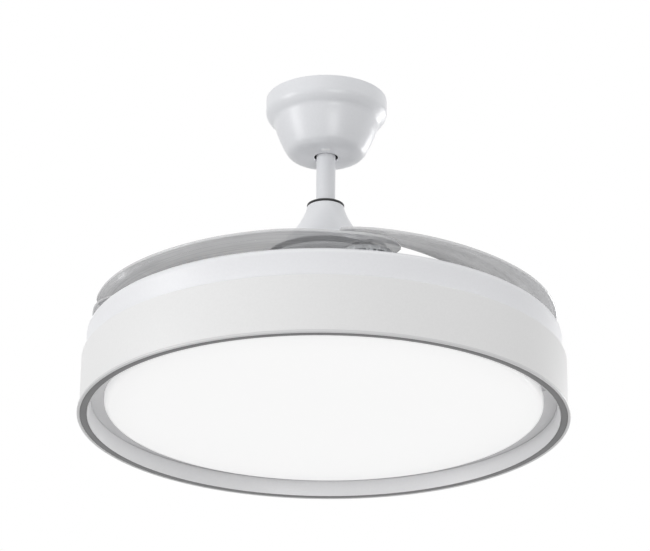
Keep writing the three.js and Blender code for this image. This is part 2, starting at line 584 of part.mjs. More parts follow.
// ---------------------------------------------------------------- motor
// The fixed hollow shaft: its collar and the nut clamp the lamp between them.
function motorShaft() {
  const bore = SHAFT_RADIUS - SHAFT_WALL;
  return turned([
    [bore, SHAFT_BOTTOM_Z],
    [SHAFT_RADIUS, SHAFT_BOTTOM_Z],
    [SHAFT_RADIUS, LAMP_SEAT_Z],
    [SHAFT_COLLAR_RADIUS, LAMP_SEAT_Z],
    [SHAFT_COLLAR_RADIUS, LAMP_SEAT_Z + SHAFT_COLLAR_HEIGHT],
    [SHAFT_RADIUS, LAMP_SEAT_Z + SHAFT_COLLAR_HEIGHT],
    [SHAFT_RADIUS, SHAFT_TOP_Z],
    [bore, SHAFT_TOP_Z],
  ], SHAFT_SEGMENTS);
}

function rotorUpper() {
  const top = MOTOR_TOP_Z;
  const low = MOTOR_SPLIT_Z + SEAT_GAP;
  const innerRadius = MOTOR_RADIUS - MOTOR_WALL;
  return turned([
    [MOTOR_LIP_BORE, top],
    ...arc(MOTOR_RADIUS - MOTOR_ROUND, top - MOTOR_ROUND, MOTOR_ROUND, 90, 0, 3),
    [MOTOR_RADIUS, low],
    [innerRadius, low],
    [innerRadius, top - MOTOR_ROUND],
    [innerRadius - MOTOR_ROUND, top - MOTOR_WALL],
    [BEARING_SEAT + MOTOR_WALL, top - MOTOR_WALL],
    [BEARING_SEAT + MOTOR_WALL, UPPER_BEARING_Z],
    [BEARING_SEAT, UPPER_BEARING_Z],
    [BEARING_SEAT, top - MOTOR_WALL + SEAT_GAP],
    [MOTOR_LIP_BORE, top - MOTOR_WALL + SEAT_GAP],
  ], MOTOR_SEGMENTS);
}

function rotorLower() {
  const bottom = MOTOR_BOTTOM_Z;
  const innerRadius = MOTOR_RADIUS - MOTOR_WALL;
  const floor = bottom + MOTOR_WALL;
  return turned([
    [MOTOR_LIP_BORE, bottom],
    [MOTOR_RADIUS, bottom],
    [MOTOR_RADIUS, MOTOR_SPLIT_Z],
    [innerRadius, MOTOR_SPLIT_Z],
    [innerRadius, floor],
    [BEARING_SEAT + MOTOR_WALL, floor],
    [BEARING_SEAT + MOTOR_WALL, floor + BEARING_HEIGHT],
    [BEARING_SEAT, floor + BEARING_HEIGHT],
    [BEARING_SEAT, floor - SEAT_GAP],
    [MOTOR_LIP_BORE, floor - SEAT_GAP],
  ], MOTOR_SEGMENTS);
}

const bearing = (z) => ring(SHAFT_BORE, BEARING_RADIUS, z, z + BEARING_HEIGHT, SHAFT_SEGMENTS);
const magnetRing = () => ring(MAGNET_RADIUS - MAGNET_THICKNESS, MAGNET_RADIUS,
  MAGNET_TOP_Z - MAGNET_HEIGHT, MAGNET_TOP_Z, MOTOR_SEGMENTS);

// Hub, necks and pole shoes of the stator as one outline, grown by a gap for its neighbour.
function statorOutline(grow) {
  const pitch = 360 / STATOR_POLES;
  const neck = STATOR_NECK / 2 + grow;
  const shoe = STATOR_RADIUS - STATOR_SHOE_DEPTH - grow;
  const outline = [];
  for (let i = 0; i < STATOR_POLES; i += 1) {
    const centre = i * pitch;
    const hubHalf = Math.asin(neck / (STATOR_HUB_RADIUS + grow)) / DEG;
    const neckHalf = Math.asin(neck / shoe) / DEG;
    const shoeHalf = pitch * STATOR_SHOE_SHARE / 2 + grow / 2;
    outline.push(
      polar(STATOR_HUB_RADIUS + grow, centre - hubHalf),
      polar(shoe, centre - neckHalf),
      polar(shoe, centre - shoeHalf),
      polar(STATOR_RADIUS, centre - shoeHalf),
      polar(STATOR_RADIUS, centre),
      polar(STATOR_RADIUS, centre + shoeHalf),
      polar(shoe, centre + shoeHalf),
      polar(shoe, centre + neckHalf),
      polar(STATOR_HUB_RADIUS + grow, centre + hubHalf),
    );
  }
  return outline;
}

function statorCore() {
  return plate(statorOutline(0), STATOR_BOTTOM_Z, STATOR_TOP_Z)
    .subtract(disc(SHAFT_BORE, STATOR_BOTTOM_Z - PAST, STATOR_TOP_Z + PAST));
}

// Copper fills the slots between the poles and joins over and under them as end turns.
function statorWinding() {
  const copperRing = ring(STATOR_HUB_RADIUS + WINDING_INNER_GAP, STATOR_RADIUS - WINDING_OUTER_GAP,
    STATOR_BOTTOM_Z - WINDING_END, STATOR_TOP_Z + WINDING_END, MOTOR_SEGMENTS);
  return copperRing.subtract(
    plate(statorOutline(SEAT_GAP), STATOR_BOTTOM_Z - SEAT_GAP, STATOR_TOP_Z + SEAT_GAP));
}

// ---------------------------------------------------------------- blade carrier
const bladeAzimuth = (index) => PIVOT_AZIMUTH + index * 360 / BLADES;
const pivotPlace = (index) => polar(PIVOT_RADIUS, bladeAzimuth(index));

function carrierPlate() {
  const hole = disc(PIN_RADIUS + SEAT_GAP, CARRIER_BOTTOM_Z - PAST, CARRIER_TOP_Z + PAST, PIN_SEGMENTS);
  let body = ring(CARRIER_BORE_RADIUS, CARRIER_RADIUS, CARRIER_BOTTOM_Z, CARRIER_TOP_Z, RING_SEGMENTS);
  for (let i = 0; i < BLADES; i += 1) {
    const [x, y] = pivotPlace(i);
    body = body.subtract(hole.translate([x, y, 0]));
  }
  return body;
}

const pivotPin = () => disc(PIN_RADIUS, CARRIER_BOTTOM_Z, BOSS_TOP_Z, PIN_SEGMENTS);

// Short stub teeth with plenty of backlash; a toothed stretch is a list of tooth centres.
function toothOutline(radius, teeth, centres) {
  const pitch = 360 / teeth;
  const tip = radius + GEAR_MODULE * TOOTH_TIP;
  const root = radius - GEAR_MODULE * TOOTH_ROOT;
  return centres.flatMap((centre) => [
    polar(root, centre - pitch * TOOTH_ROOT_SHARE),
    polar(tip, centre - pitch * TOOTH_TIP_SHARE),
    polar(tip, centre + pitch * TOOTH_TIP_SHARE),
    polar(root, centre + pitch * TOOTH_ROOT_SHARE),
  ]);
}

// Steel arm under each blade: a small gear that meshes with the ring, and a round seat on it.
// Drawn about its own pivot, with the middle of a tooth gap towards the fan's axis.
function bladeArm() {
  const pitch = 360 / GEAR_TEETH;
  const centres = Array.from({ length: GEAR_TEETH }, (_, i) => (i + 0.5) * pitch);
  const gear = plate(toothOutline(GEAR_RADIUS, GEAR_TEETH, centres),
    GEAR_BOTTOM_Z, (ARM_BOTTOM_Z + ARM_TOP_Z) / 2);
  const seat = disc(ARM_RADIUS, ARM_BOTTOM_Z, ARM_TOP_Z, SHAFT_SEGMENTS);
  return gear.add(seat)
    .subtract(disc(PIN_BORE, GEAR_BOTTOM_Z - PAST, ARM_TOP_Z + PAST, PIN_SEGMENTS))
    .subtract(screwHole(GEAR_BOTTOM_Z, ARM_TOP_Z));
}

// The hole for a blade's screw, through everything between two heights.
function screwHole(low, high) {
  return disc(BLADE_SCREW_RADIUS + SEAT_GAP, low - PAST, high + PAST, PIN_SEGMENTS)
    .translate([BLADE_SCREW_OFFSET, 0, 0]);
}

// The ring that makes the four blades move as one: teeth only where the gears can reach.
function syncRing() {
  const reach = Math.floor(SYNC_SECTOR_ANGLE / SYNC_PITCH);
  const half = (reach + 0.5) * SYNC_PITCH;
  const rim = SYNC_RADIUS - GEAR_MODULE * TOOTH_ROOT;
  const outline = [];
  for (let i = 0; i < BLADES; i += 1) {
    const centre = bladeAzimuth(i) + SYNC_SHIFT;
    const centres = Array.from({ length: 2 * reach + 1 }, (_, k) => centre + (k - reach) * SYNC_PITCH);
    outline.push(...toothOutline(SYNC_RADIUS, SYNC_TEETH, centres));
    for (let k = 1; k < SYNC_RIM_STEPS; k += 1) {
      outline.push(polar(rim, centre + half + (360 / BLADES - 2 * half) * k / SYNC_RIM_STEPS));
    }
  }
  const top = GEAR_BOTTOM_Z + SYNC_THICKNESS;
  return plate(outline, GEAR_BOTTOM_Z, top)
    .subtract(disc(rim - SYNC_WALL, GEAR_BOTTOM_Z - PAST, top + PAST, RING_SEGMENTS));
}

// ---------------------------------------------------------------- blades
// A blade is a sheet between an outer and an inner edge, both functions of the azimuth from its
// pivot: the outer edge follows the lamp, the inner edge spirals out to meet it at the tip.
function bladeEdges(azimuth) {
  const along = Math.min(Math.max(azimuth / BLADE_SPAN_ANGLE, 0), 1);
  const outer = BLADE_OUTER_RADIUS - BLADE_TIP_TUCK * along ** BLADE_TUCK_POWER;
  const inner = BLADE_INNER_RADIUS
    + (BLADE_TIP_INNER - BLADE_INNER_RADIUS) * along ** BLADE_TAPER_POWER;
  const fromRoot = Math.min((azimuth + BLADE_ROOT_ANGLE) / BLADE_ROOT_ROUND_ANGLE, 1);
  const fromTip = Math.min((BLADE_SPAN_ANGLE - azimuth) / BLADE_TIP_ROUND_ANGLE, 1);
  const rounding = Math.sqrt(Math.max(1 - (1 - fromRoot) ** 2, 0))
    * Math.sqrt(Math.max(1 - (1 - fromTip) ** 2, 0));
  const middle = (outer + inner) / 2;
  const half = (outer - inner) / 2 * Math.max(rounding, BLADE_END_SHARE);
  const rise = ([root, mid, tip], rootAngles, tipAngles) => mid
    + (root - mid) * (1 - ease(...rootAngles, azimuth)) + (tip - mid) * ease(...tipAngles, azimuth);
  return {
    outer,
    inner,
    outerEdge: middle + half,
    innerEdge: middle - half,
    outerRise: rise([BLADE_OUTER_ROOT_RISE, BLADE_OUTER_MID_RISE, BLADE_OUTER_TIP_RISE],
      BLADE_OUTER_ROOT_ANGLES, BLADE_OUTER_TIP_ANGLES),
    innerRise: rise([BLADE_INNER_ROOT_RISE, BLADE_INNER_MID_RISE, BLADE_INNER_TIP_RISE],
      BLADE_INNER_ROOT_ANGLES, BLADE_INNER_TIP_ANGLES),
  };
}

// Middle height of the sheet: steep at the outer edge and flatter inwards.
function bladeRise(edges, radius) {
  const across = Math.min(Math.max((edges.outer - radius) / (edges.outer - edges.inner), 0), 1);
  return edges.outerRise + (edges.innerRise - edges.outerRise) * (1 - (1 - across) ** 2);
}

function bladeSheet() {
  const positions = [];
  const indices = [];
  const across = BLADE_STRIPS + 1;
  const along = BLADE_STEPS + 1;
  for (const side of [0.5, -0.5]) {
    for (let i = 0; i < along; i += 1) {
      const t = i / BLADE_STEPS;
      const spread = t + ((1 - Math.cos(Math.PI * t)) / 2 - t) * BLADE_STEP_CROWDING;
      const azimuth = -BLADE_ROOT_ANGLE + (BLADE_SPAN_ANGLE + BLADE_ROOT_ANGLE) * spread;
      const edges = bladeEdges(azimuth);
      for (let j = 0; j < across; j += 1) {
        const radius = edges.outerEdge + (edges.innerEdge - edges.outerEdge) * j / BLADE_STRIPS;
        const [x, y] = polar(radius, -azimuth);
        positions.push(x, y, CARRIER_TOP_Z + bladeRise(edges, radius) + side * BLADE_THICKNESS);
      }
    }
  }
  const layer = along * across;
  const at = (i, j) => i * across + j;
  for (let i = 0; i < BLADE_STEPS; i += 1) {
    for (let j = 0; j < BLADE_STRIPS; j += 1) {
      const [a, b, c, d] = [at(i, j), at(i + 1, j), at(i + 1, j + 1), at(i, j + 1)];
      indices.push(a, c, b, a, d, c);
      indices.push(layer + a, layer + b, layer + c, layer + a, layer + c, layer + d);
    }
  }
  const rim = [
    ...Array.from({ length: BLADE_STEPS }, (_, i) => at(i, 0)),
    ...Array.from({ length: BLADE_STRIPS }, (_, j) => at(BLADE_STEPS, j)),
    ...Array.from({ length: BLADE_STEPS }, (_, i) => at(BLADE_STEPS - i, BLADE_STRIPS)),
    ...Array.from({ length: BLADE_STRIPS }, (_, j) => at(0, BLADE_STRIPS - j)),
  ];
  rim.forEach((a, k) => {
    const b = rim[(k + 1) % rim.length];
    indices.push(a, b, layer + b, a, layer + b, layer + a);
  });
  const geometry = new THREE.BufferGeometry();
  geometry.setAttribute('position', new THREE.Float32BufferAttribute(positions, 3));
  geometry.setIndex(indices);
  return solid(geometry);
}

// The sheet with a round boss over its pivot, hollowed for the spring and bored for the pin.
function blade() {
  const boss = disc(BLADE_BOSS_RADIUS, BOSS_BOTTOM_Z, BOSS_TOP_Z, SHAFT_SEGMENTS);
  const pocket = disc(SPRING_RADIUS + SEAT_GAP, BOSS_BOTTOM_Z - PAST, SPRING_TOP_Z + SEAT_GAP, PIN_SEGMENTS);
  const bore = disc(PIN_BORE, BOSS_BOTTOM_Z - PAST, BOSS_TOP_Z + PAST, PIN_SEGMENTS);
  const clearAbove = disc(BLADE_BOSS_RADIUS, BOSS_TOP_Z, BOSS_TOP_Z + BLADE_INNER_MID_RISE, SHAFT_SEGMENTS);
  return bladeSheet()
    .translate([-PIVOT_RADIUS, 0, 0])
    .subtract(clearAbove)
    .add(boss)
    .subtract(pocket)
    .subtract(bore)
    .subtract(screwHole(BOSS_BOTTOM_Z, BOSS_TOP_Z));
}

const returnSpring = () => ring(SPRING_BORE, SPRING_RADIUS, BOSS_BOTTOM_Z, SPRING_TOP_Z, PIN_SEGMENTS);

const pivotCap = () => turned([
  [0, BOSS_TOP_Z + SEAT_GAP],
  [CAP_RADIUS, BOSS_TOP_Z + SEAT_GAP],
  [CAP_RADIUS, BOSS_TOP_Z + CAP_HEIGHT - CAP_BEVEL],
  [CAP_RADIUS - CAP_BEVEL, BOSS_TOP_Z + CAP_HEIGHT],
  [0, BOSS_TOP_Z + CAP_HEIGHT],
], BALL_SEGMENTS);

function bladeScrew() {
  const top = BOSS_TOP_Z + SCREW_HEAD_HEIGHT;
  const shank = disc(BLADE_SCREW_RADIUS, ARM_BOTTOM_Z + SEAT_GAP, top, PIN_SEGMENTS);
  const head = disc(BLADE_SCREW_HEAD_RADIUS, BOSS_TOP_Z + SEAT_GAP, top, PIN_SEGMENTS);
  return shank.add(head).translate([BLADE_SCREW_OFFSET, 0, 0]);
}

// ---------------------------------------------------------------- lamp
function lampDrum() {
  const top = DRUM_TOP_Z;
  const low = SHADE_TOP_Z - DRUM_SKIRT;
  const inner = DRUM_NECK_RADIUS - SHEET;
  const shoulder = DRUM_RADIUS - DRUM_ROUND;
  return turned([
    [SHAFT_BORE, top],
    ...arc(shoulder, top - DRUM_ROUND, DRUM_ROUND, 90, 0, 3),
    [DRUM_NECK_RADIUS, SHADE_TOP_Z],
    [DRUM_NECK_RADIUS, low],
    [inner, low],
    [inner, SHADE_TOP_Z],
    [DRUM_RADIUS - SHEET, top - DRUM_ROUND],
    [shoulder, DRUM_CEILING_Z],
    [SHAFT_BORE, DRUM_CEILING_Z],
  ], RING_SEGMENTS);
}

function shade() {
  const inner = SHADE_RADIUS - SHADE_WALL;
  const neck = DRUM_NECK_RADIUS + SEAT_GAP;
  return turned([
    [inner, SHADE_BOTTOM_Z],
    [SHADE_RADIUS, SHADE_BOTTOM_Z],
    [SHADE_RADIUS, SHADE_TOP_Z - SHADE_ROUND],
    [SHADE_RADIUS - SHADE_ROUND, SHADE_TOP_Z],
    [neck, SHADE_TOP_Z],
    [neck, SHADE_TOP_Z - SHADE_WALL],
    [inner, SHADE_TOP_Z - SHADE_WALL],
  ], RING_SEGMENTS);
}

// The bottom rim: a lip that closes the shade, with a shallow channel for the dark inlay.
function rimRing() {
  const channel = RIM_BOTTOM_Z + INLAY_DEPTH + SEAT_GAP;
  return turned([
    [RIM_BORE, channel],
    [INLAY_RADIUS, channel],
    [INLAY_RADIUS, RIM_BOTTOM_Z],
    [RIM_RADIUS - RIM_BEVEL, RIM_BOTTOM_Z],
    [RIM_RADIUS, RIM_BOTTOM_Z + RIM_BEVEL],
    [RIM_RADIUS, RIM_TOP_Z],
    [RIM_BORE, RIM_TOP_Z],
  ], RING_SEGMENTS);
}

const rimInlay = () => ring(INLAY_RADIUS - SEAT_GAP - INLAY_WIDTH, INLAY_RADIUS - SEAT_GAP,
  RIM_BOTTOM_Z + SEAT_GAP, RIM_BOTTOM_Z + INLAY_DEPTH, RING_SEGMENTS);

const lugAzimuth = (index) => LUG_AZIMUTH + index * 360 / LUGS;

// A block across the diffuser's side wall, as a lug or, grown, as the slot that lets it past.
function lugBlock(low, high, grow) {
  const half = (DIFFUSER_RADIUS + LUG_REACH) * Math.sin(LUG_HALF_ANGLE * DEG) + grow;
  const inner = DIFFUSER_RADIUS - DIFFUSER_WALL / 2;
  const outer = DIFFUSER_RADIUS + LUG_REACH + grow;
  return block(outer - inner, 2 * half, low, high).translate([(inner + outer) / 2, 0, 0]);
}

// Grey inner wall, which leans in from the rim.
function innerBezel() {
  const low = RIM_BOTTOM_Z + SEAT_GAP;
  return turned([
    [BEZEL_RADIUS - BEZEL_FOOT, low],
    [BEZEL_RADIUS, low],
    [BEZEL_RADIUS, BEZEL_TOP_Z],
    [BEZEL_TOP_RADIUS, BEZEL_TOP_Z],
  ], RING_SEGMENTS);
}

// Flat ring on top of the inner wall: its edge is the shelf over which the diffuser's lugs lock,
// and three slots let them past.
function lensRing() {
  let body = ring(LENS_RING_BORE, BEZEL_RADIUS, LENS_RING_Z, LENS_RING_TOP_Z, RING_SEGMENTS);
  for (let i = 0; i < LUGS; i += 1) {
    body = body.subtract(lugBlock(LENS_RING_Z - PAST, LENS_RING_TOP_Z + PAST, RUN_GAP)
      .rotate([0, 0, lugAzimuth(i) + LUG_SLOT_ANGLE]));
  }
  return body;
}

// A shallow opal dish whose side wall stands up inside the shelf, with three bayonet lugs on it.
function diffuser() {
  const edge = RIM_BOTTOM_Z + DIFFUSER_EDGE_RISE;
  const top = edge + DIFFUSER_SIDE;
  const dome = (radius) => edge - DIFFUSER_DOME * (1 - (radius / DIFFUSER_RADIUS) ** 2);
  const radii = DIFFUSER_SHARES.map((share) => share * DIFFUSER_RADIUS);
  const skin = radii.map((radius) => [radius, dome(radius)]);
  const back = radii.slice().reverse().map((radius) => [radius, dome(radius) + DIFFUSER_WALL]);
  const bend = DIFFUSER_RADIUS - DIFFUSER_ROUND;
  let body = turned([
    ...skin,
    [bend, dome(bend)],
    [DIFFUSER_RADIUS, edge + DIFFUSER_ROUND],
    [DIFFUSER_RADIUS, top],
    [DIFFUSER_RADIUS - DIFFUSER_WALL, top],
    [DIFFUSER_RADIUS - DIFFUSER_WALL, edge + DIFFUSER_WALL],
    ...back,
  ], RING_SEGMENTS);
  const lugLow = LENS_RING_TOP_Z + SEAT_GAP;
  for (let i = 0; i < LUGS; i += 1) {
    body = body.add(lugBlock(lugLow, lugLow + LUG_HEIGHT, 0).rotate([0, 0, lugAzimuth(i)]));
  }
  return body;
}

const ledBoard = () => ring(LED_BOARD_BORE, LED_BOARD_RADIUS, LED_BOTTOM_Z, LED_TOP_Z, RING_SEGMENTS);
const ledDriver = () => block(DRIVER_LENGTH, DRIVER_WIDTH, LED_BOTTOM_Z - SEAT_GAP - DRIVER_HEIGHT,
  LED_BOTTOM_Z - SEAT_GAP).translate([0, DRIVER_OFFSET, 0]);
const lampWasher = () => ring(SHAFT_BORE, WASHER_RADIUS, WASHER_BOTTOM_Z, WASHER_TOP_Z, SHAFT_SEGMENTS);
const lampNut = () => disc(NUT_RADIUS, NUT_BOTTOM_Z, NUT_TOP_Z, 6)
  .subtract(disc(SHAFT_BORE, NUT_BOTTOM_Z - PAST, NUT_TOP_Z + PAST, SHAFT_SEGMENTS));

// ---------------------------------------------------------------- assembly
const group = new THREE.Group();

function add(name, body, material, parent = group) {
  const mesh = new THREE.Mesh(surface(body), material);
  mesh.name = name;
  parent.add(mesh);
  return mesh;
}

add('ceiling_bracket', ceilingBracket(), zincSteel());
add('canopy', canopy(), whiteEnamel());
CANOPY_SCREW_AZIMUTHS.forEach((azimuth, i) =>
  add(`canopy_screw_${i + 1}`, canopyScrew(azimuth), zincSteel()));
add('receiver_box', receiverBox(), blackPlastic());
add('receiver_window', receiverWindow(), opal());
add('hanger_ball', hangerBall(), blackPlastic());
add('hanger_pin', hangerPin(), zincSteel());
add('downrod', downrod(), whiteEnamel());
add('dust_ring', dustRing(), blackRubber());
add('motor_cover', motorCover(), whiteEnamel());
add('yoke', yoke(), zincSteel());
add('yoke_pin', yokePin(), zincSteel());
add('motor_shaft', motorShaft(), zincSteel());
add('stator_core', statorCore(), laminations());
add('stator_winding', statorWinding(), copper());
add('rotor_upper', rotorUpper(), whiteEnamel());
add('rotor_lower', rotorLower(), whiteEnamel());
add('magnet_ring', magnetRing(), magnet());
add('bearing_upper', bearing(UPPER_BEARING_Z), zincSteel());
add('bearing_lower', bearing(LOWER_BEARING_Z), zincSteel());
add('carrier_plate', carrierPlate(), blackEnamel());
add('sync_ring', syncRing(), moulded());

for (let i = 0; i < BLADES; i += 1) {
  const station = new THREE.Group();
  const [x, y] = pivotPlace(i);
  station.position.set(x, y, 0);
  station.rotation.z = bladeAzimuth(i) * DEG;
  group.add(station);
  add(`pivot_pin_${i + 1}`, pivotPin(), zincSteel(), station);
  add(`blade_arm_${i + 1}`, bladeArm(), zincSteel(), station);
  add(`return_spring_${i + 1}`, returnSpring(), zincSteel(), station);
  add(`blade_${i + 1}`, blade(), smokyBlade(), station);
  add(`pivot_cap_${i + 1}`, pivotCap(), moulded(), station);
  add(`blade_screw_${i + 1}`, bladeScrew(), zincSteel(), station);
}

add('lamp_drum', lampDrum(), drumEnamel());
add('lamp_washer', lampWasher(), zincSteel());
add('lamp_nut', lampNut(), zincSteel());
add('led_board', ledBoard(), circuitWhite());
add('led_driver', ledDriver(), moulded());
add('shade', shade(), shadeEnamel());
add('rim_ring', rimRing(), greyEnamel());
add('rim_inlay', rimInlay(), darkInlay());
add('inner_bezel', innerBezel(), greyEnamel());
add('lens_ring', lensRing(), greyEnamel());
add('diffuser', diffuser(), opal());

export default group;
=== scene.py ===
import math

import bmesh
import bpy
import numpy as np
from mathutils import Matrix, Vector


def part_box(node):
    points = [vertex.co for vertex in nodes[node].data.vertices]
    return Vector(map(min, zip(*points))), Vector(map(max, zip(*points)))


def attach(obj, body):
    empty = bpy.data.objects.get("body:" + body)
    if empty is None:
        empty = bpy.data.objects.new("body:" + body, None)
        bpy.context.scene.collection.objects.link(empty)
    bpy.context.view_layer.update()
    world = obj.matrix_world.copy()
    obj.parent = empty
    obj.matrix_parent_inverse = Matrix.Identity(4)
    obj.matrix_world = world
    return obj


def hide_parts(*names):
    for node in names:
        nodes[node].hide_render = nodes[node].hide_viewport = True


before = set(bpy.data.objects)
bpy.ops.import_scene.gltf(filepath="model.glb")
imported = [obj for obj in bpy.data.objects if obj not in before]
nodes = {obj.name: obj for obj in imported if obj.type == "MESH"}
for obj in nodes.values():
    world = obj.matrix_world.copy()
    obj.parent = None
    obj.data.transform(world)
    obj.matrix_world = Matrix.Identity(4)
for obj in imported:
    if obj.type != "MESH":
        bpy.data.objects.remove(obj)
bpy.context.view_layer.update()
MM = 0.001


# ---------------------------------------------------------------- camera
# The photograph was taken from well below the lamp with a long lens. The camera looks up at the
# lamp, and the picture leans a touch to the right.
CAMERA_PLACE = (0.0, -2.9387, -1.4145)
CAMERA_PITCH = 22.46
CAMERA_LEAN = 0.516
FOCAL_PIXELS = 3076.7
PICTURE_WIDTH = 650
SENSOR_WIDTH = 36.0

lens = bpy.data.cameras.new("photo_camera")
lens.sensor_width = SENSOR_WIDTH
lens.lens = FOCAL_PIXELS / PICTURE_WIDTH * SENSOR_WIDTH
lens.clip_end = 60
camera = bpy.data.objects.new("photo_camera", lens)
look = Matrix.Rotation(math.radians(90 + CAMERA_PITCH), 4, "X")
lean = Matrix.Rotation(math.radians(CAMERA_LEAN), 4, "Z")
camera.matrix_world = Matrix.Translation(CAMERA_PLACE) @ look @ lean
bpy.context.scene.collection.objects.link(camera)
bpy.context.scene.camera = camera
bpy.context.scene.view_settings.view_transform = "Standard"


# ---------------------------------------------------------------- ceiling bracket and plated steel
# Zinc-plated steel plate, pressed and welded, that is screwed to the ceiling. Its two arms carry
# the seat for the hanger ball. The pins, yoke, shaft, bearings, washer and nut share its finish.
ZINC = (0.56, 0.57, 0.58)


def shader(name, color, roughness, metallic=0.0, specular=0.5):
    """A new material whose own sockets hold what is the same all over the surface."""
    material = bpy.data.materials.new(name)
    material.use_nodes = True
    surface = material.node_tree.nodes["Principled BSDF"]
    surface.inputs["Base Color"].default_value = (*color, 1)
    surface.inputs["Roughness"].default_value = roughness
    surface.inputs["Metallic"].default_value = metallic
    surface.inputs["Specular IOR Level"].default_value = specular
    return material


def grain(material, scale, tint=0.0, rough=0.0, bump=0.0, distance=0.0001, stretch=(1, 1, 1)):
    """Adds noise on the object's own coordinates: tint darkens and lightens the colour by that
    share, rough moves the roughness by that much, and bump raises the surface."""
    tree = material.node_tree
    surface = tree.nodes["Principled BSDF"]
    place = tree.nodes.new("ShaderNodeTexCoord")
    fit = tree.nodes.new("ShaderNodeMapping")
    fit.inputs["Scale"].default_value = stretch
    noise = tree.nodes.new("ShaderNodeTexNoise")
    noise.inputs["Scale"].default_value = scale
    noise.inputs["Detail"].default_value = 4
    tree.links.new(place.outputs["Object"], fit.inputs["Vector"])
    tree.links.new(fit.outputs["Vector"], noise.inputs["Vector"])
    if tint:
        color = surface.inputs["Base Color"].default_value[:3]
        ramp = tree.nodes.new("ShaderNodeValToRGB")
        ramp.color_ramp.elements[0].position = 0.3
        ramp.color_ramp.elements[1].position = 0.7
        ramp.color_ramp.elements[0].color = (*[c * (1 - tint) for c in color], 1)
        ramp.color_ramp.elements[1].color = (*[min(c * (1 + tint), 1) for c in color], 1)
        tree.links.new(noise.outputs["Fac"], ramp.inputs["Fac"])
        tree.links.new(ramp.outputs["Color"], surface.inputs["Base Color"])
    if rough:
        level = surface.inputs["Roughness"].default_value
        spread = tree.nodes.new("ShaderNodeMapRange")
        spread.inputs["From Min"].default_value = 0.3
        spread.inputs["From Max"].default_value = 0.7
        spread.inputs["To Min"].default_value = level - rough
        spread.inputs["To Max"].default_value = level + rough
        tree.links.new(noise.outputs["Fac"], spread.inputs["Value"])
        tree.links.new(spread.outputs["Result"], surface.inputs["Roughness"])
    if bump:
        raised = tree.nodes.new("ShaderNodeBump")
        raised.inputs["Strength"].default_value = bump
        raised.inputs["Distance"].default_value = distance
        tree.links.new(noise.outputs["Fac"], raised.inputs["Height"])
        tree.links.new(raised.outputs["Normal"], surface.inputs["Normal"])
    return material


def zinc_plate(name):
    """Bright zinc: a cloudy grey metal with a fine crystal grain."""
    return grain(shader(name, ZINC, 0.34, metallic=0.9), 260, tint=0.12, rough=0.08, bump=0.15)


def finish(node, material):
    """Gives a CAD node its finish."""
    data = nodes[node].data
    data.materials.clear()
    data.materials.append(material)


zinc = zinc_plate("zinc_steel")
for node in ("ceiling_bracket", "hanger_pin", "yoke", "yoke_pin", "motor_shaft",
             "lamp_washer", "lamp_nut", "bearing_upper", "bearing_lower"):
    finish(node, zinc)


# ---------------------------------------------------------------- canopy
# Spun steel cup in white enamel that covers the bracket: a thick flange against the ceiling,
# a tapering body, and a rounded bottom with a hole for the rod.
CANOPY = [  # radius, height, size of the rounded corner
    (12.5, -64.5, 0), (12.5, -66.0, 0.5), (31.0, -66.0, 5), (40.2, -62.4, 6), (46.9, -50.0, 14),
    (52.3, -36.5, 10), (55.0, -26.8, 3.0), (60.2, -22.2, 4), (63.7, -17.0, 6), (63.7, 0.0, 0.6),
    (62.2, 0.0, 0), (62.2, -16.4, 2), (53.5, -26.2, 2), (50.8, -36.5, 6), (45.4, -50.0, 6),
    (39.2, -61.4, 4), (30.9, -64.5, 3),
]
ENAMEL = (0.80, 0.81, 0.835)


def rounded(corners, steps=6):
    """A closed outline whose corners are arcs: each arc is a curve between two points set back
    along its corner's two sides by the corner's size, or by less where a side is too short."""
    points = np.array([c[:2] for c in corners], float)
    sizes = np.array([c[2] for c in corners], float)
    before = np.roll(points, 1, 0) - points
    after = np.roll(points, -1, 0) - points
    long_before = np.linalg.norm(before, axis=1)
    long_after = np.linalg.norm(after, axis=1)
    set_back = np.minimum(sizes, 0.48 * np.minimum(long_before, long_after))
    outline = []
    for p, b, a, lb, la, s in zip(points, before, after, long_before, long_after, set_back):
        if s <= 0:
            outline.append(p[None])
            continue
        t = np.linspace(0, 1, steps + 1)[:, None]
        start, end = p + b / lb * s, p + a / la * s
        outline.append((1 - t) ** 2 * start + 2 * t * (1 - t) * p + t ** 2 * end)
    return np.concatenate(outline)


def mesh_piece(name, points, faces, material, sharp=32):
    """A piece from points in millimetres and faces: doubles merged, faces turned outwards,
    smooth but for edges sharper than an angle."""
    data = bpy.data.meshes.new(name)
    data.from_pydata((np.asarray(points) * MM).tolist(), [], [list(f) for f in faces])
    work = bmesh.new()
    work.from_mesh(data)
    bmesh.ops.remove_doubles(work, verts=work.verts, dist=1e-6)
    bmesh.ops.dissolve_degenerate(work, edges=work.edges, dist=1e-7)
    bmesh.ops.recalc_face_normals(work, faces=work.faces)
    work.to_mesh(data)
    work.free()
    data.polygons.foreach_set("use_smooth", [True] * len(data.polygons))
    data.set_sharp_from_angle(angle=math.radians(sharp))
    data.materials.append(material)
    piece = bpy.data.objects.new(name, data)
    bpy.context.scene.collection.objects.link(piece)
    return piece


def grid_faces(rows, columns, close_rows=False, close_columns=False):
    """Quads between neighbours on a grid of rows and columns, closed round where asked."""
    r = np.arange(rows if close_rows else rows - 1)
    c = np.arange(columns if close_columns else columns - 1)
    r, c = (g.ravel() for g in np.meshgrid(r, c, indexing="ij"))
    r2, c2 = (r + 1) % rows, (c + 1) % columns
    return np.stack([r * columns + c, r2 * columns + c, r2 * columns + c2, r * columns + c2], 1)


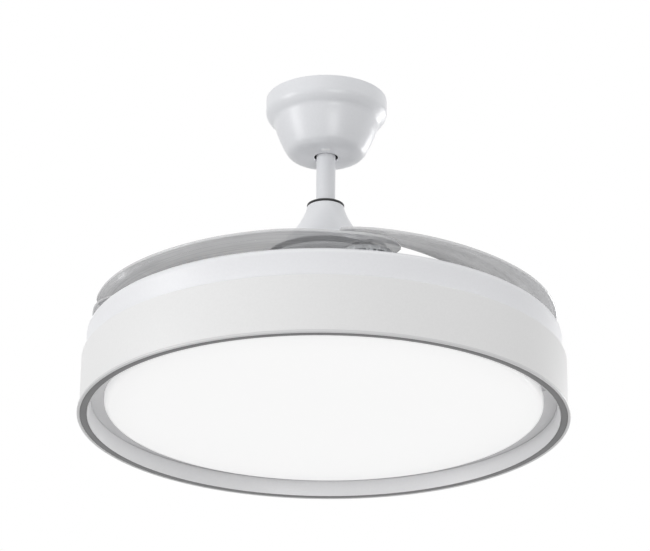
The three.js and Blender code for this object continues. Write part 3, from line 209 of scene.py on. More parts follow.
def turned(name, outline, material, around=128, centre=(0, 0), sharp=32):
    """A closed outline of radius and height turned about an upright axis: the point at angle a
    is (radius cos a, radius sin a, height)."""
    angle = np.linspace(0, 2 * math.pi, around, endpoint=False)[:, None]
    radius, height = outline[:, 0][None], outline[:, 1][None]
    points = np.stack([centre[0] + radius * np.cos(angle), centre[1] + radius * np.sin(angle),
                       height + 0 * angle], -1).reshape(-1, 3)
    return mesh_piece(name, points, grid_faces(around, len(outline), True, True), material, sharp)


def place(piece, body, slot, *replaced):
    """A finished piece rides on its body and stands for CAD nodes, which it hides; the slot is not used.
    """
    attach(piece, body)
    if replaced:
        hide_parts(*replaced)
    return piece


def enamel(name, color, roughness=0.32):
    """Sprayed and baked enamel: an even colour over a faint orange peel."""
    return grain(shader(name, color, roughness), 420, tint=0.012, rough=0.03, bump=0.05,
                 distance=0.00004)


white_enamel = enamel("white_enamel", ENAMEL)
place(turned("canopy_cup", rounded(CANOPY), white_enamel), "ceiling", "white_enamel", "canopy")


# ---------------------------------------------------------------- canopy screws
# Two small pan-head screws of zinc-plated steel, with a cross pressed into the head. They hold
# the canopy to the bracket's ears, and both are on the far side.
SCREW_TURNS = (30, 150)
SCREW_DEPTH = -7.0
SCREW_OUT = 63.9
HEAD_RADIUS = 3.9
HEAD_FOOT = 0.2
HEAD_EDGE = 0.9
HEAD_DOME = 1.0
CROSS_HALF = 0.5
CROSS_REACH = 2.4


def pan_head(name, material, seat, turn):
    """A domed screw head turned about Z, its height falling from the middle with the square of
    the radius, with a cross cut by pushing its top down along two bars. It is then tipped over
    to point outwards at a turn about the fan's axis."""
    share = np.linspace(0, 1, 9)
    profile = np.concatenate([
        np.stack([HEAD_RADIUS * share, 0 * share + HEAD_FOOT], 1),
        np.stack([HEAD_RADIUS * share[::-1], HEAD_EDGE + HEAD_DOME * (1 - share[::-1] ** 2)], 1)])
    angle = np.linspace(0, 2 * math.pi, 48, endpoint=False)[:, None]
    x = profile[:, 0] * np.cos(angle)
    y = profile[:, 0] * np.sin(angle)
    z = profile[:, 1] + 0 * angle
    bars = (np.minimum(np.abs(x), np.abs(y)) < CROSS_HALF) & (np.hypot(x, y) < CROSS_REACH)
    z = np.where(bars & (z > HEAD_FOOT), HEAD_EDGE, z)
    outwards = np.array(Matrix.Rotation(math.radians(turn), 3, "Z")
                        @ Matrix.Rotation(math.radians(90), 3, "Y"))
    points = np.stack([x, y, z], -1).reshape(-1, 3) @ outwards.T + seat
    return mesh_piece(name, points, grid_faces(*x.shape, True, True), material)


for number, turn in enumerate(SCREW_TURNS, 1):
    seat = (SCREW_OUT * math.cos(math.radians(turn)), SCREW_OUT * math.sin(math.radians(turn)),
            SCREW_DEPTH)
    place(pan_head(f"canopy_screw_head_{number}", zinc, seat, turn), "ceiling", "zinc_steel",
          f"canopy_screw_{number}")


# ---------------------------------------------------------------- receiver
# A small moulded box inside the canopy takes the remote's signal through a clear window, which
# snaps into the canopy's bottom.
def nylon(name, color):
    """Moulded nylon: dark and even, with a fine spark-eroded grain."""
    return grain(shader(name, color, 0.55), 900, tint=0.1, rough=0.06, bump=0.25, distance=0.00006)


black_nylon = nylon("black_plastic", (0.018, 0.018, 0.019))
finish("receiver_box", black_nylon)

WINDOW_HALF = (4.5, 3.0)
WINDOW_PLACE = (0.0, -20.0)
WINDOW_LOW, WINDOW_HIGH = -66.4, -64.5


def rounded_block(name, half, centre, low, high, corner, edge, material, around=40):
    """A block with round corners in plan and a rounded lower and upper edge: rings of a
    superellipse, drawn in towards both ends of its height."""
    turn = np.linspace(0, 2 * math.pi, around, endpoint=False)
    power = 2 / corner
    c, s = np.cos(turn), np.sin(turn)
    ring = np.stack([np.sign(c) * np.abs(c) ** power, np.sign(s) * np.abs(s) ** power], 1)
    lean = np.linspace(0, math.pi / 2, 5)
    inset, lift = edge * (1 - np.sin(lean)), edge * (1 - np.cos(lean))
    insets = np.concatenate([[max(half)], inset, inset[::-1], [max(half)]])
    heights = np.concatenate([[low], low + lift, high - lift[::-1], [high]])
    rows = []
    for drawn_in, z in zip(insets, heights):
        size = np.maximum(np.array(half) - drawn_in, 0)
        rows.append(np.column_stack([centre + ring * size, np.full(around, z)]))
    return mesh_piece(name, np.concatenate(rows), grid_faces(len(rows), around, False, True), material)


window_glass = grain(shader("window_lens", (0.92, 0.92, 0.93), 0.12), 300, tint=0.02, rough=0.03)
place(rounded_block("receiver_lens", WINDOW_HALF, WINDOW_PLACE, WINDOW_LOW, WINDOW_HIGH, 6, 0.35,
                    window_glass), "ceiling", "opal", "receiver_window")


# ---------------------------------------------------------------- hanger ball
# Ball of moulded nylon on the upper end of the rod, held there by a cross pin. It rests in the
# bracket's cupped seat, so that the fan hangs plumb.
finish("hanger_ball", black_nylon)


# ---------------------------------------------------------------- downrod
# Steel tube of 20 mm in white enamel. Its upper end hangs on a pin in the nylon ball, and its
# lower end is pinned in the yoke.
ROD_RADIUS = 10.0
ROD_BORE = 8.5
ROD_TOP = -29.0
rod_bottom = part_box("downrod")[0].z / MM
rod_outline = rounded([(ROD_BORE, rod_bottom, 0.3), (ROD_RADIUS, rod_bottom, 0.4),
                       (ROD_RADIUS, ROD_TOP, 0.4), (ROD_BORE, ROD_TOP, 0.3)], 3)
place(turned("downrod_tube", rod_outline, white_enamel, 72), "suspension", "white_enamel", "downrod")


# ---------------------------------------------------------------- dust ring
# Ring of black rubber, moulded and pushed down over the rod. It grips the rod and closes the top
# of the motor cover.
ring_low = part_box("dust_ring")[0].z / MM
ring_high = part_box("dust_ring")[1].z / MM
rubber = grain(shader("black_rubber", (0.022, 0.022, 0.023), 0.6), 700, tint=0.15, rough=0.08,
               bump=0.2, distance=0.00005)
RING_BORE = 10.3
RING_RADIUS = 19.5
dust_outline = rounded([(RING_BORE, ring_low, 0), (RING_RADIUS, ring_low, 0.4),
                        (RING_RADIUS, ring_high, 0.9), (RING_BORE, ring_high, 0.2)], 4)
place(turned("dust_seal", dust_outline, rubber, 96), "suspension", "black_rubber", "dust_ring")


# ---------------------------------------------------------------- motor cover
# Trumpet of spun steel in white enamel. It hangs from the rod above the motor: a slim neck that
# flares out wider and wider to a rolled edge.
cover_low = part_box("motor_cover")[0].z / MM
cover_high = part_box("motor_cover")[1].z / MM
COVER_NECK, COVER_FLARE, COVER_EDGE = 19.4, 35.6, 62.0
COVER_SLIM = 33.0
COVER_POWER = 1.45
COVER_EVEN = 0.75
COVER_WALL = 1.2
COVER_BORE = 10.3


def cover_outline():
    """Outer curve of radius against the drop below its top, back up along the same curve one
    wall in. The neck widens with the drop to the power 1.45, and from a drop of 33 mm the flare
    adds three quarters of the rest evenly and one quarter with the cube of its share. The lower
    edge is rolled and a flat land goes round the rod above."""
    drop = np.linspace(0, cover_high - cover_low, 60)
    slim = (np.minimum(drop, COVER_SLIM) / COVER_SLIM) ** COVER_POWER
    rest = np.maximum(drop - COVER_SLIM, 0) / (drop[-1] - COVER_SLIM)
    radius = (COVER_NECK + (COVER_FLARE - COVER_NECK) * slim
              + (COVER_EDGE - COVER_FLARE) * (COVER_EVEN * rest + (1 - COVER_EVEN) * rest ** 3))
    outer = np.column_stack([radius, cover_high - drop])
    inner = np.column_stack([radius - COVER_WALL, cover_high - drop])[3:-1][::-1]
    outer[0, 1] -= 0.7
    outer[-1, 0] -= 0.35
    land = [(COVER_NECK - 1.3, cover_high - COVER_WALL), (COVER_BORE, cover_high - COVER_WALL),
            (COVER_BORE, cover_high), (COVER_NECK - 0.8, cover_high)]
    return np.concatenate([outer, inner, land])


place(turned("motor_trumpet", cover_outline(), white_enamel, 128), "suspension", "white_enamel",
      "motor_cover")


# ---------------------------------------------------------------- motor
# Outrunner motor: two white enamelled shells turn round a fixed stator of steel sheets and
# copper wire. They are spun steel, with a rolled shoulder, a shallow groove and an open joint.
copper = grain(shader("copper", (0.48, 0.2, 0.08), 0.35, metallic=0.85), 60, tint=0.3, rough=0.1,
               bump=0.5, distance=0.0004, stretch=(1, 1, 30))
laminations = grain(shader("laminations", (0.2, 0.2, 0.21), 0.45, metallic=0.8), 40, tint=0.25,
                    rough=0.1, bump=0.6, distance=0.0003, stretch=(0.02, 0.02, 40))
ferrite = grain(shader("magnet", (0.05, 0.05, 0.055), 0.6), 400, tint=0.2, rough=0.05, bump=0.2)
finish("stator_core", laminations)
finish("stator_winding", copper)
finish("magnet_ring", ferrite)

MOTOR_RADIUS = 64.0
MOTOR_WALL = 2.5
motor_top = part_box("rotor_upper")[1].z / MM
motor_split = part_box("rotor_lower")[1].z / MM
motor_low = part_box("rotor_lower")[0].z / MM
MOTOR_BORE = MOTOR_RADIUS - MOTOR_WALL
HUB = 15.8
SEAT = 13.3
UPPER_SEAT = (2.3, 9.5)  # floor and mouth of the bearing's seat, in from the shell's outer face
LOWER_SEAT = (2.2, 9.4)
LIP = 9.6
SHOULDER_ROUND = 8.0
GROOVE_IN, GROOVE_OUT = 24.0, 44.0
GROOVE_SLOPE = 4.0
GROOVE_DEPTH = 1.6
SPLIT_GAP = 0.3
SPLIT_STEP = 0.8
upper_low = motor_split + SPLIT_GAP
upper_roof = motor_top - MOTOR_WALL - 2
upper_outline = rounded([
    (LIP, motor_top, 0), (GROOVE_IN - GROOVE_SLOPE, motor_top, 1),
    (GROOVE_IN, motor_top - GROOVE_DEPTH, 1.5), (GROOVE_OUT, motor_top - GROOVE_DEPTH, 1.5),
    (GROOVE_OUT + GROOVE_SLOPE, motor_top, 1.5), (MOTOR_RADIUS, motor_top, SHOULDER_ROUND),
    (MOTOR_RADIUS, upper_low + 1.9, 0.6), (MOTOR_RADIUS - SPLIT_STEP, upper_low, 0.3),
    (MOTOR_BORE, upper_low, 0), (MOTOR_BORE, upper_roof, 6), (HUB, upper_roof, 0),
    (HUB, motor_top - UPPER_SEAT[1], 0), (SEAT, motor_top - UPPER_SEAT[1], 0),
    (SEAT, motor_top - UPPER_SEAT[0], 0), (LIP, motor_top - UPPER_SEAT[0], 0)], 6)
lower_outline = rounded([
    (LIP, motor_low, 0), (MOTOR_RADIUS, motor_low, 1.0), (MOTOR_RADIUS, motor_split - 1.4, 0.6),
    (MOTOR_RADIUS - SPLIT_STEP, motor_split, 0.3), (MOTOR_BORE, motor_split, 0),
    (MOTOR_BORE, motor_low + MOTOR_WALL, 2), (HUB, motor_low + MOTOR_WALL, 0),
    (HUB, motor_low + LOWER_SEAT[1], 0), (SEAT, motor_low + LOWER_SEAT[1], 0),
    (SEAT, motor_low + LOWER_SEAT[0], 0), (LIP, motor_low + LOWER_SEAT[0], 0)], 4)
place(turned("motor_shell_upper", upper_outline, white_enamel, 120), "rotor", "white_enamel",
      "rotor_upper")
place(turned("motor_shell_lower", lower_outline, white_enamel, 120), "rotor", "white_enamel",
      "rotor_lower")


# ---------------------------------------------------------------- blade carrier
# Black steel disc on the rotor's lower end, with pressed stiffening beads. Four pins stand in
# it near its edge, one for each blade.
black_enamel = grain(shader("black_enamel", (0.012, 0.012, 0.013), 0.38), 500, tint=0.1, rough=0.05,
                     bump=0.06)
CARRIER_RADIUS = 200.0
CARRIER_BORE = 22.0
carrier_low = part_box("carrier_plate")[0].z / MM
carrier_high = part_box("carrier_plate")[1].z / MM
BEAD_RADII = (90.0, 110.0, 130.0)
BEAD_DEPTH = 1.1
BEAD_HALF, BEAD_FLOOR_HALF = 4.0, 2.0
disc_corners = [(CARRIER_BORE, carrier_high, 0.2)]
for bead in BEAD_RADII:
    disc_corners += [(bead - BEAD_HALF, carrier_high, 1.5),
                     (bead - BEAD_FLOOR_HALF, carrier_high - BEAD_DEPTH, 1.5),
                     (bead + BEAD_FLOOR_HALF, carrier_high - BEAD_DEPTH, 1.5),
                     (bead + BEAD_HALF, carrier_high, 1.5)]
disc_corners += [(CARRIER_RADIUS, carrier_high, 1.0), (CARRIER_RADIUS, carrier_low, 0.5),
                 (CARRIER_BORE, carrier_low, 0.2)]
place(turned("carrier_disc", rounded(disc_corners, 4), black_enamel, 160), "rotor", "black_enamel",
      "carrier_plate")


# ---------------------------------------------------------------- synchronising ring
# Acetal ring, moulded with stub teeth that mesh with a small gear on each blade's arm, so that
# the four blades open as one.
acetal = grain(shader("moulded_grey", (0.5, 0.5, 0.5), 0.42), 300, tint=0.03, rough=0.04, bump=0.1)
finish("sync_ring", acetal)


# ---------------------------------------------------------------- blades
# Four blades of smoky transparent polycarbonate, moulded with a thicker rim. Each follows the
# lamp round from the boss at its pivot, its inner edge high, its tip over the next blade's root.
PIVOT_RADIUS = 192.0
PIVOT_TURN = 12.0
BLADE_SPAN = 98.5
ROOT_OVERHANG = 9.0
ROOT_ROUND = 12.0
TIP_ROUND = 10.0
OUTER_RADIUS, INNER_RADIUS = 238.0, 158.0
TIP_OUTER, TIP_INNER = 236.0, 204.0
OUTER_RISE = (10.0, 14.0, 17.0)  # root, middle and tip, above the carrier
OUTER_TURNS = (0.0, 25.0, 48.0)  # from root to middle between the first two, to the tip from the third
INNER_RISE = (14.0, 18.0, 22.0)
INNER_TURNS = (-5.0, 28.0, 55.0)
OUTER_POWER, INNER_POWER = 3, 0.9
BLADE_THICKNESS = 2.2
BLADE_EDGE = 1.1
RIM_WIDTH = 3.2
RIM_EXTRA = 0.7
RIM_CHART = 20.0  # distance from the edge that counts as 1 in the map of the rim
ALONG = 150
ACROSS = 36


def ease(low, high, value):
    """A smooth step from 0 at low to 1 at high."""
    x = np.clip((value - low) / (high - low), 0, 1)
    return x * x * (3 - 2 * x)


def blade_shape():
    """Points of one blade with its pivot on the X axis, and for each its share along the blade,
    its share across it and its distance from the edge. The edges are radii and rises that change
    with the turn from the pivot. Across, the sheet is steep at the outer edge and flatter
    inwards, and its section is a thin strip with a thicker rim."""
    share = np.linspace(0, 1, ALONG)
    share = 0.5 * share + 0.5 * (1 - np.cos(math.pi * share)) / 2
    turn = -ROOT_OVERHANG + (BLADE_SPAN + ROOT_OVERHANG) * share
    along = np.clip(turn / BLADE_SPAN, 0, 1)
    outer = OUTER_RADIUS + (TIP_OUTER - OUTER_RADIUS) * along ** OUTER_POWER
    inner = INNER_RADIUS + (TIP_INNER - INNER_RADIUS) * along ** INNER_POWER
    from_root = np.minimum((turn + ROOT_OVERHANG) / ROOT_ROUND, 1)
    from_tip = np.minimum((BLADE_SPAN - turn) / TIP_ROUND, 1)
    close = np.sqrt(np.clip(1 - (1 - from_root) ** 2, 0, 1) * np.clip(1 - (1 - from_tip) ** 2, 0, 1))
    middle, half = (outer + inner) / 2, (outer - inner) / 2 * close
    outer_rise, inner_rise = (
        rise[0] + (rise[1] - rise[0]) * ease(turns[0], turns[1], turn)
        + (rise[2] - rise[1]) * ease(turns[2], BLADE_SPAN, turn)
        for rise, turns in ((OUTER_RISE, OUTER_TURNS), (INNER_RISE, INNER_TURNS)))
    lean = np.linspace(0, math.pi, ACROSS)
    edge = np.concatenate([-np.cos(lean), np.cos(lean)[1:-1]])
    side = np.concatenate([np.ones(ACROSS), -np.ones(ACROSS - 2)])
    side[[0, ACROSS - 1]] = 0
    radius = middle[:, None] - half[:, None] * edge[None]
    from_edge = half[:, None] * (1 - np.abs(edge))[None]
    body = np.sqrt(np.clip(1 - (1 - np.minimum(from_edge / BLADE_EDGE, 1)) ** 2, 0, 1))
    rim = 1 + RIM_EXTRA / BLADE_THICKNESS * 2 * (1 - ease(RIM_WIDTH * 0.6, RIM_WIDTH, from_edge))
    across = np.clip((outer[:, None] - radius) / (outer - inner)[:, None], 0, 1)
    rise = outer_rise[:, None] + (inner_rise - outer_rise)[:, None] * (1 - (1 - across) ** 2)
    rise = rise + side * BLADE_THICKNESS / 2 * body * np.where(side > 0, rim, 1)
    angle = np.radians(-turn)[:, None]
    points = np.stack([radius * np.cos(angle), radius * np.sin(angle), carrier_high + rise], -1)
    from_ends = np.radians(np.minimum(turn + ROOT_OVERHANG, BLADE_SPAN - turn))[:, None] * radius
    along = np.repeat(along[:, None], radius.shape[1], 1)
    return points, along, across, np.minimum(from_edge, from_ends)


SMOKE = (0.69, 0.69, 0.70)
CLEARNESS = 0.48  # of one skin of the sheet; a ray crosses two
STREAK = 0.22
RIM_DARK = 1.3


def smoked(name):
    """Smoky polycarbonate: half clear, with long soft flow streaks from the mould along the
    blade, denser at the thick rim, and a glossy skin."""
    material = shader(name, SMOKE, 0.16)
    tree = material.node_tree
    surface = tree.nodes["Principled BSDF"]
    surface.inputs["Coat Weight"].default_value = 0.25
    surface.inputs["Coat Roughness"].default_value = 0.05
    flow = tree.nodes.new("ShaderNodeUVMap")
    flow.uv_map = "flow"
    fit = tree.nodes.new("ShaderNodeMapping")
    fit.inputs["Scale"].default_value = (1.3, 11, 1)
    noise = tree.nodes.new("ShaderNodeTexNoise")
    noise.inputs["Scale"].default_value = 1.6
    noise.inputs["Detail"].default_value = 3
    streak = tree.nodes.new("ShaderNodeMapRange")
    streak.inputs["From Min"].default_value = 0.3
    streak.inputs["From Max"].default_value = 0.7
    streak.inputs["To Min"].default_value = (1 + STREAK) * (1 - CLEARNESS)
    streak.inputs["To Max"].default_value = (1 - STREAK) * (1 - CLEARNESS)
    edge = tree.nodes.new("ShaderNodeUVMap")
    edge.uv_map = "rim"
    parts = tree.nodes.new("ShaderNodeSeparateXYZ")
    dense = tree.nodes.new("ShaderNodeMapRange")
    dense.interpolation_type = "SMOOTHSTEP"
    dense.inputs["From Max"].default_value = RIM_WIDTH / RIM_CHART
    dense.inputs["To Min"].default_value = RIM_DARK
    dense.inputs["To Max"].default_value = 1.0
    both = tree.nodes.new("ShaderNodeMath")
    both.operation = "MULTIPLY"
    tree.links.new(flow.outputs["UV"], fit.inputs["Vector"])
    tree.links.new(fit.outputs["Vector"], noise.inputs["Vector"])
    tree.links.new(noise.outputs["Fac"], streak.inputs["Value"])
    tree.links.new(edge.outputs["UV"], parts.inputs["Vector"])
    tree.links.new(parts.outputs["X"], dense.inputs["Value"])
    tree.links.new(streak.outputs["Result"], both.inputs[0])
    tree.links.new(dense.outputs["Result"], both.inputs[1])
    tree.links.new(both.outputs["Value"], surface.inputs["Alpha"])
    return material


def chart(piece, name, u, v):
    """Writes two values of each point into a UV map of the piece."""
    layer = piece.data.uv_layers.new(name=name)
    loops = np.zeros(len(piece.data.loops), int)
    piece.data.loops.foreach_get("vertex_index", loops)
    layer.data.foreach_set("uv", np.column_stack([u, v])[loops].ravel())


def joined(piece, other, operation):
    """Cuts another piece from this one, or melts it in, and drops the other."""
    change = piece.modifiers.new("join", "BOOLEAN")
    change.operation, change.object, change.solver = operation, other, "EXACT"
    data = bpy.data.meshes.new_from_object(piece.evaluated_get(bpy.context.evaluated_depsgraph_get()))
    piece.modifiers.clear()
    piece.data = data
    bpy.data.objects.remove(other)


smoky = smoked("smoky_blade")
shape, share_along, share_across, from_rim = blade_shape()
sheet = bpy.data.objects.new("blade_sheet", bpy.data.meshes.new("blade_sheet"))
sheet.data.from_pydata((shape.reshape(-1, 3) * MM).tolist(), [],
                       grid_faces(*shape.shape[:2], False, True).tolist())
sheet.data.materials.append(smoky)
bpy.context.scene.collection.objects.link(sheet)
chart(sheet, "flow", share_along.ravel(), share_across.ravel())
chart(sheet, "rim", from_rim.ravel() / RIM_CHART, 0 * from_rim.ravel())
welded = bmesh.new()
welded.from_mesh(sheet.data)
bmesh.ops.remove_doubles(welded, verts=welded.verts, dist=2e-6)
bmesh.ops.recalc_face_normals(welded, faces=welded.faces)
welded.to_mesh(sheet.data)
welded.free()

BOSS_RADIUS = 20.0
BOSS_BORE = 4.5
SPRING_POCKET = (14.3, 3.2)  # radius and depth of the pocket for the return spring
MOUTH_RADIUS = 19.0
MOUTH_DEPTH = 7.4
MOUTH_HEADROOM = 30.0
boss_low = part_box("return_spring_1")[0].z / MM
boss_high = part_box("pivot_pin_1")[1].z / MM
pocket_high = boss_low + SPRING_POCKET[1]
boss_outline = rounded([(BOSS_BORE, pocket_high, 0), (SPRING_POCKET[0], pocket_high, 0.2),
                        (SPRING_POCKET[0], boss_low, 0), (BOSS_RADIUS, boss_low, 0.4),
                        (BOSS_RADIUS, boss_high, 0.9), (BOSS_BORE, boss_high, 0.3)], 4)
pivot = (PIVOT_RADIUS, 0.0)
mouth_low, mouth_high = boss_high - MOUTH_DEPTH, boss_high + MOUTH_HEADROOM
mouth = rounded([(0, mouth_low, 0), (MOUTH_RADIUS, mouth_low, 0),
                 (MOUTH_RADIUS, mouth_high, 0), (0, mouth_high, 0)])
boss = turned("blade_boss", boss_outline, smoky, 64, pivot)
for name in ("flow", "rim"):
    chart(boss, name, np.full(len(boss.data.vertices), 0.3), np.full(len(boss.data.vertices), 0.5))
joined(sheet, turned("blade_mouth", mouth, smoky, 64, pivot), "DIFFERENCE")
joined(sheet, boss, "UNION")
sheet.data.polygons.foreach_set("use_smooth", [True] * len(sheet.data.polygons))
sheet.data.set_sharp_from_angle(angle=math.radians(40))


def station(piece, index):
    """A copy of a piece that was made on the X axis, turned to one of the four pivots."""
    copy = bpy.data.objects.new(f"{piece.name}_{index + 1}", piece.data.copy())
    copy.data.transform(Matrix.Rotation(math.radians(PIVOT_TURN + 90 * index), 4, "Z"))
    bpy.context.scene.collection.objects.link(copy)
    return copy


# The boss turns on a steel pin, on a zinc-plated arm with a small gear. It holds a torsion
# spring that pulls the blade shut, and an acetal cap on the pin and a screw hold it.
CAP_OUTLINE = [(0, 0.3, 0), (9.0, 0.3, 0.2), (9.0, 1.5, 0.5), (7.4, 2.5, 0.8), (3.0, 2.5, 0.6),
               (2.4, 1.9, 0.3), (0, 1.9, 0)]
SCREW_OUTLINE = [(0, 0.3, 0), (3.0, 0.3, 0.1), (2.9, 1.1, 0.4), (1.2, 1.9, 0.5), (0, 1.6, 0)]
SCREW_OUT_OF_PIVOT = 17.0

cap = turned("pivot_cap", rounded([(r, boss_high + z, s) for r, z, s in CAP_OUTLINE], 4), acetal,
             48, pivot)
screw = turned("blade_screw", rounded([(r, boss_high + z, s) for r, z, s in SCREW_OUTLINE], 3), zinc,
               24, (PIVOT_RADIUS + SCREW_OUT_OF_PIVOT, 0))
for index, body in enumerate(("blade_one", "blade_two", "blade_three", "blade_four")):
    number = index + 1
    place(station(sheet, index), body, "smoky_blade", f"blade_{number}")
    place(station(cap, index), "rotor", "moulded_grey", f"pivot_cap_{number}")
    place(station(screw, index), body, "zinc_steel", f"blade_screw_{number}")
    for node in ("blade_arm", "return_spring", "pivot_pin"):
        finish(f"{node}_{number}", zinc)
for first in (sheet, cap, screw):
    bpy.data.objects.remove(first)


# ---------------------------------------------------------------- lamp drum
# Spun steel drum in cool white enamel that hangs under the blades, with a rounded shoulder. The
# shade slips over its lower half.
drum_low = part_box("lamp_drum")[0].z / MM
drum_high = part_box("lamp_drum")[1].z / MM
shade_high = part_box("shade")[1].z / MM
DRUM_BORE = 9.3
DRUM_TOP = 238.0
DRUM_SHOULDER = 243.5
DRUM_NECK = 239.5
DRUM_WALL = 1.2
DRUM = [
    (DRUM_BORE, drum_high, 0), (DRUM_TOP, drum_high, 4), (DRUM_SHOULDER, drum_high - 5, 5),
    (DRUM_NECK, shade_high, 0), (DRUM_NECK, drum_low, 0.3), (DRUM_NECK - DRUM_WALL, drum_low, 0.3),
    (DRUM_NECK - DRUM_WALL, shade_high, 0), (DRUM_SHOULDER - DRUM_WALL, drum_high - 6, 3),
    (DRUM_TOP - DRUM_WALL / 2, drum_high - DRUM_WALL, 2), (DRUM_BORE, drum_high - DRUM_WALL, 0)]
drum_enamel = enamel("drum_enamel", (0.845, 0.85, 0.872), 0.36)
place(turned("drum_shell", rounded(DRUM, 8), drum_enamel, 220), "suspension", "drum_enamel",
      "lamp_drum")


# ---------------------------------------------------------------- LED board and driver
# Aluminium board with a white solder mask that carries the LEDs, under the drum's top. Its
# driver, in a moulded case, hangs below it. Both are out of sight behind the diffuser.
solder_mask = grain(shader("circuit_white", (0.82, 0.82, 0.8), 0.45), 200, tint=0.03, rough=0.03)
finish("led_board", solder_mask)
finish("led_driver", acetal)


# ---------------------------------------------------------------- shade
# Broad band of white enamelled steel round the lamp, rolled from sheet. Its top is turned in to
# a collar that slips over the drum's neck.
shade_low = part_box("shade")[0].z / MM
SHADE_RADIUS = 247.4
SHADE_COLLAR = 239.8
SHADE_WALL = 1.5
SHADE = [
    (SHADE_RADIUS - SHADE_WALL, shade_low, 0), (SHADE_RADIUS, shade_low, 0.2),
    (SHADE_RADIUS, shade_high, 1.6), (SHADE_COLLAR, shade_high, 0.4),
    (SHADE_COLLAR, shade_high - SHADE_WALL, 0), (SHADE_RADIUS - SHADE_WALL, shade_high - SHADE_WALL, 0)]
shade_enamel = enamel("shade_enamel", (0.84, 0.84, 0.84), 0.5)
place(turned("shade_band", rounded(SHADE, 5), shade_enamel, 220), "suspension", "shade_enamel",
      "shade")


# ---------------------------------------------------------------- rim
# Light grey enamelled lip that closes the shade below. A flat ring of aluminium, anodised dark
# grey, is let into a channel in its lower face.
rim_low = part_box("rim_ring")[0].z / MM
rim_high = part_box("rim_ring")[1].z / MM
RIM_BORE = 240.2
RIM_RADIUS = 250.0
RECESS_RADIUS = 247.0
RECESS_DEPTH = 1.5
SEAT_GAP = 0.3
RIM = [(RIM_BORE, rim_low + RECESS_DEPTH, 0), (RECESS_RADIUS, rim_low + RECESS_DEPTH, 0),
       (RECESS_RADIUS, rim_low, 0.2), (RIM_RADIUS, rim_low, 1.0), (RIM_RADIUS, rim_high, 0.8),
       (RIM_BORE, rim_high, 0.2)]
grey_enamel = enamel("grey_enamel", (0.70, 0.70, 0.705), 0.34)
place(turned("rim_lip", rounded(RIM, 4), grey_enamel, 240), "suspension", "grey_enamel", "rim_ring")

INLAY = [(RIM_BORE, rim_low + RECESS_DEPTH - SEAT_GAP, 0), (RIM_BORE, rim_low + SEAT_GAP, 0.2),
         (RECESS_RADIUS - SEAT_GAP, rim_low + SEAT_GAP, 0.2),
         (RECESS_RADIUS - SEAT_GAP, rim_low + RECESS_DEPTH - SEAT_GAP, 0)]
dark_ring = grain(shader("dark_inlay", (0.135, 0.135, 0.138), 0.35, metallic=0.75), 30, tint=0.08,
                  rough=0.06, bump=0.1, stretch=(1, 1, 8))
place(turned("inlay_ring", rounded(INLAY, 3), dark_ring, 240), "suspension", "dark_inlay",
      "rim_inlay")


# ---------------------------------------------------------------- inner bezel
# Light grey enamelled steel wall inside the rim. Its inner face leans in from the rim up to the
# lens ring, which it carries.
bezel_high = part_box("inner_bezel")[1].z / MM
BEZEL_RADIUS = RIM_BORE - SEAT_GAP
BEZEL_FOOT, BEZEL_TOP = 239.1, 236.4
BEZEL = [(BEZEL_RADIUS, rim_low + SEAT_GAP, 0.2), (BEZEL_RADIUS, bezel_high, 0),
         (BEZEL_TOP, bezel_high, 0.3), (BEZEL_FOOT, rim_low + SEAT_GAP, 0.2)]
# The bezel's enamel is the rim's grey painted a little lighter. This is painted light for the shaded
# recess inside the rim, which the lamps barely reach.
bezel_enamel_painted_lighter = enamel("bezel_enamel_painted_lighter", (0.74, 0.74, 0.75), 0.38)
place(turned("bezel_wall", rounded(BEZEL, 4), bezel_enamel_painted_lighter, 220), "suspension", "grey_enamel",
      "inner_bezel")


# ---------------------------------------------------------------- lens ring
# Flat light grey steel ring on the bezel's top, stamped with three slots. The diffuser's lugs
# pass up through the slots and lock over its inner edge.
LENS_RING_BORE = 223.4
SLOT_BORE = 227.4
LUGS = 3
LUG_TURN = 90.0
SLOT_TURN = 14.0  # from a locked lug to its slot
SLOT_HALF = 3.3
SLOT_END = 0.02
lens_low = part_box("lens_ring")[0].z / MM
lens_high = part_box("lens_ring")[1].z / MM


def slotted_ring():
    """Rows of the ring's section at many turns: (bore, low), (outside, low), (outside, high) and
    (bore, high), with a wider bore within the slots and two rows at each end of a slot."""
    pitch = 360 / LUGS
    ends = np.array([LUG_TURN + SLOT_TURN + pitch * k + side * SLOT_HALF
                     for k in range(LUGS) for side in (-1, 1)])
    turn = np.unique(np.concatenate([np.arange(0, 360, 1.5), (ends - SLOT_END) % 360,
                                     (ends + SLOT_END) % 360]))
    off = (turn - LUG_TURN - SLOT_TURN + pitch / 2) % pitch - pitch / 2
    bore = np.where(np.abs(off) < SLOT_HALF, SLOT_BORE, LENS_RING_BORE)
    edge = np.full(len(turn), BEZEL_RADIUS)
    radius = np.stack([bore, edge, edge, bore], 1)
    height = np.repeat(np.array([[lens_low, lens_low, lens_high, lens_high]]), len(turn), 0)
    angle = np.radians(turn)[:, None]
    points = np.stack([radius * np.cos(angle), radius * np.sin(angle), height], -1)
    return points.reshape(-1, 3), grid_faces(len(turn), 4, True, True)


# The lens ring shares the bezel's enamel, painted lighter for the shaded recess.
place(mesh_piece("lens_ring_flat", *slotted_ring(), bezel_enamel_painted_lighter), "suspension", "grey_enamel",
      "lens_ring")


# ---------------------------------------------------------------- diffuser
# Shallow dish moulded from opal acrylic, faintly lit from within. Its side wall has bayonet lugs
# that hold it over the lens ring after a short turn.
DISH_RADIUS = 222.8
DISH_EDGE = -349.0
DISH_DOME = 6.5
DISH_FACE = 216.0
DISH_WALL = 2.4
DISH_ROUND = 6.0
dish_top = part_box("diffuser")[1].z / MM


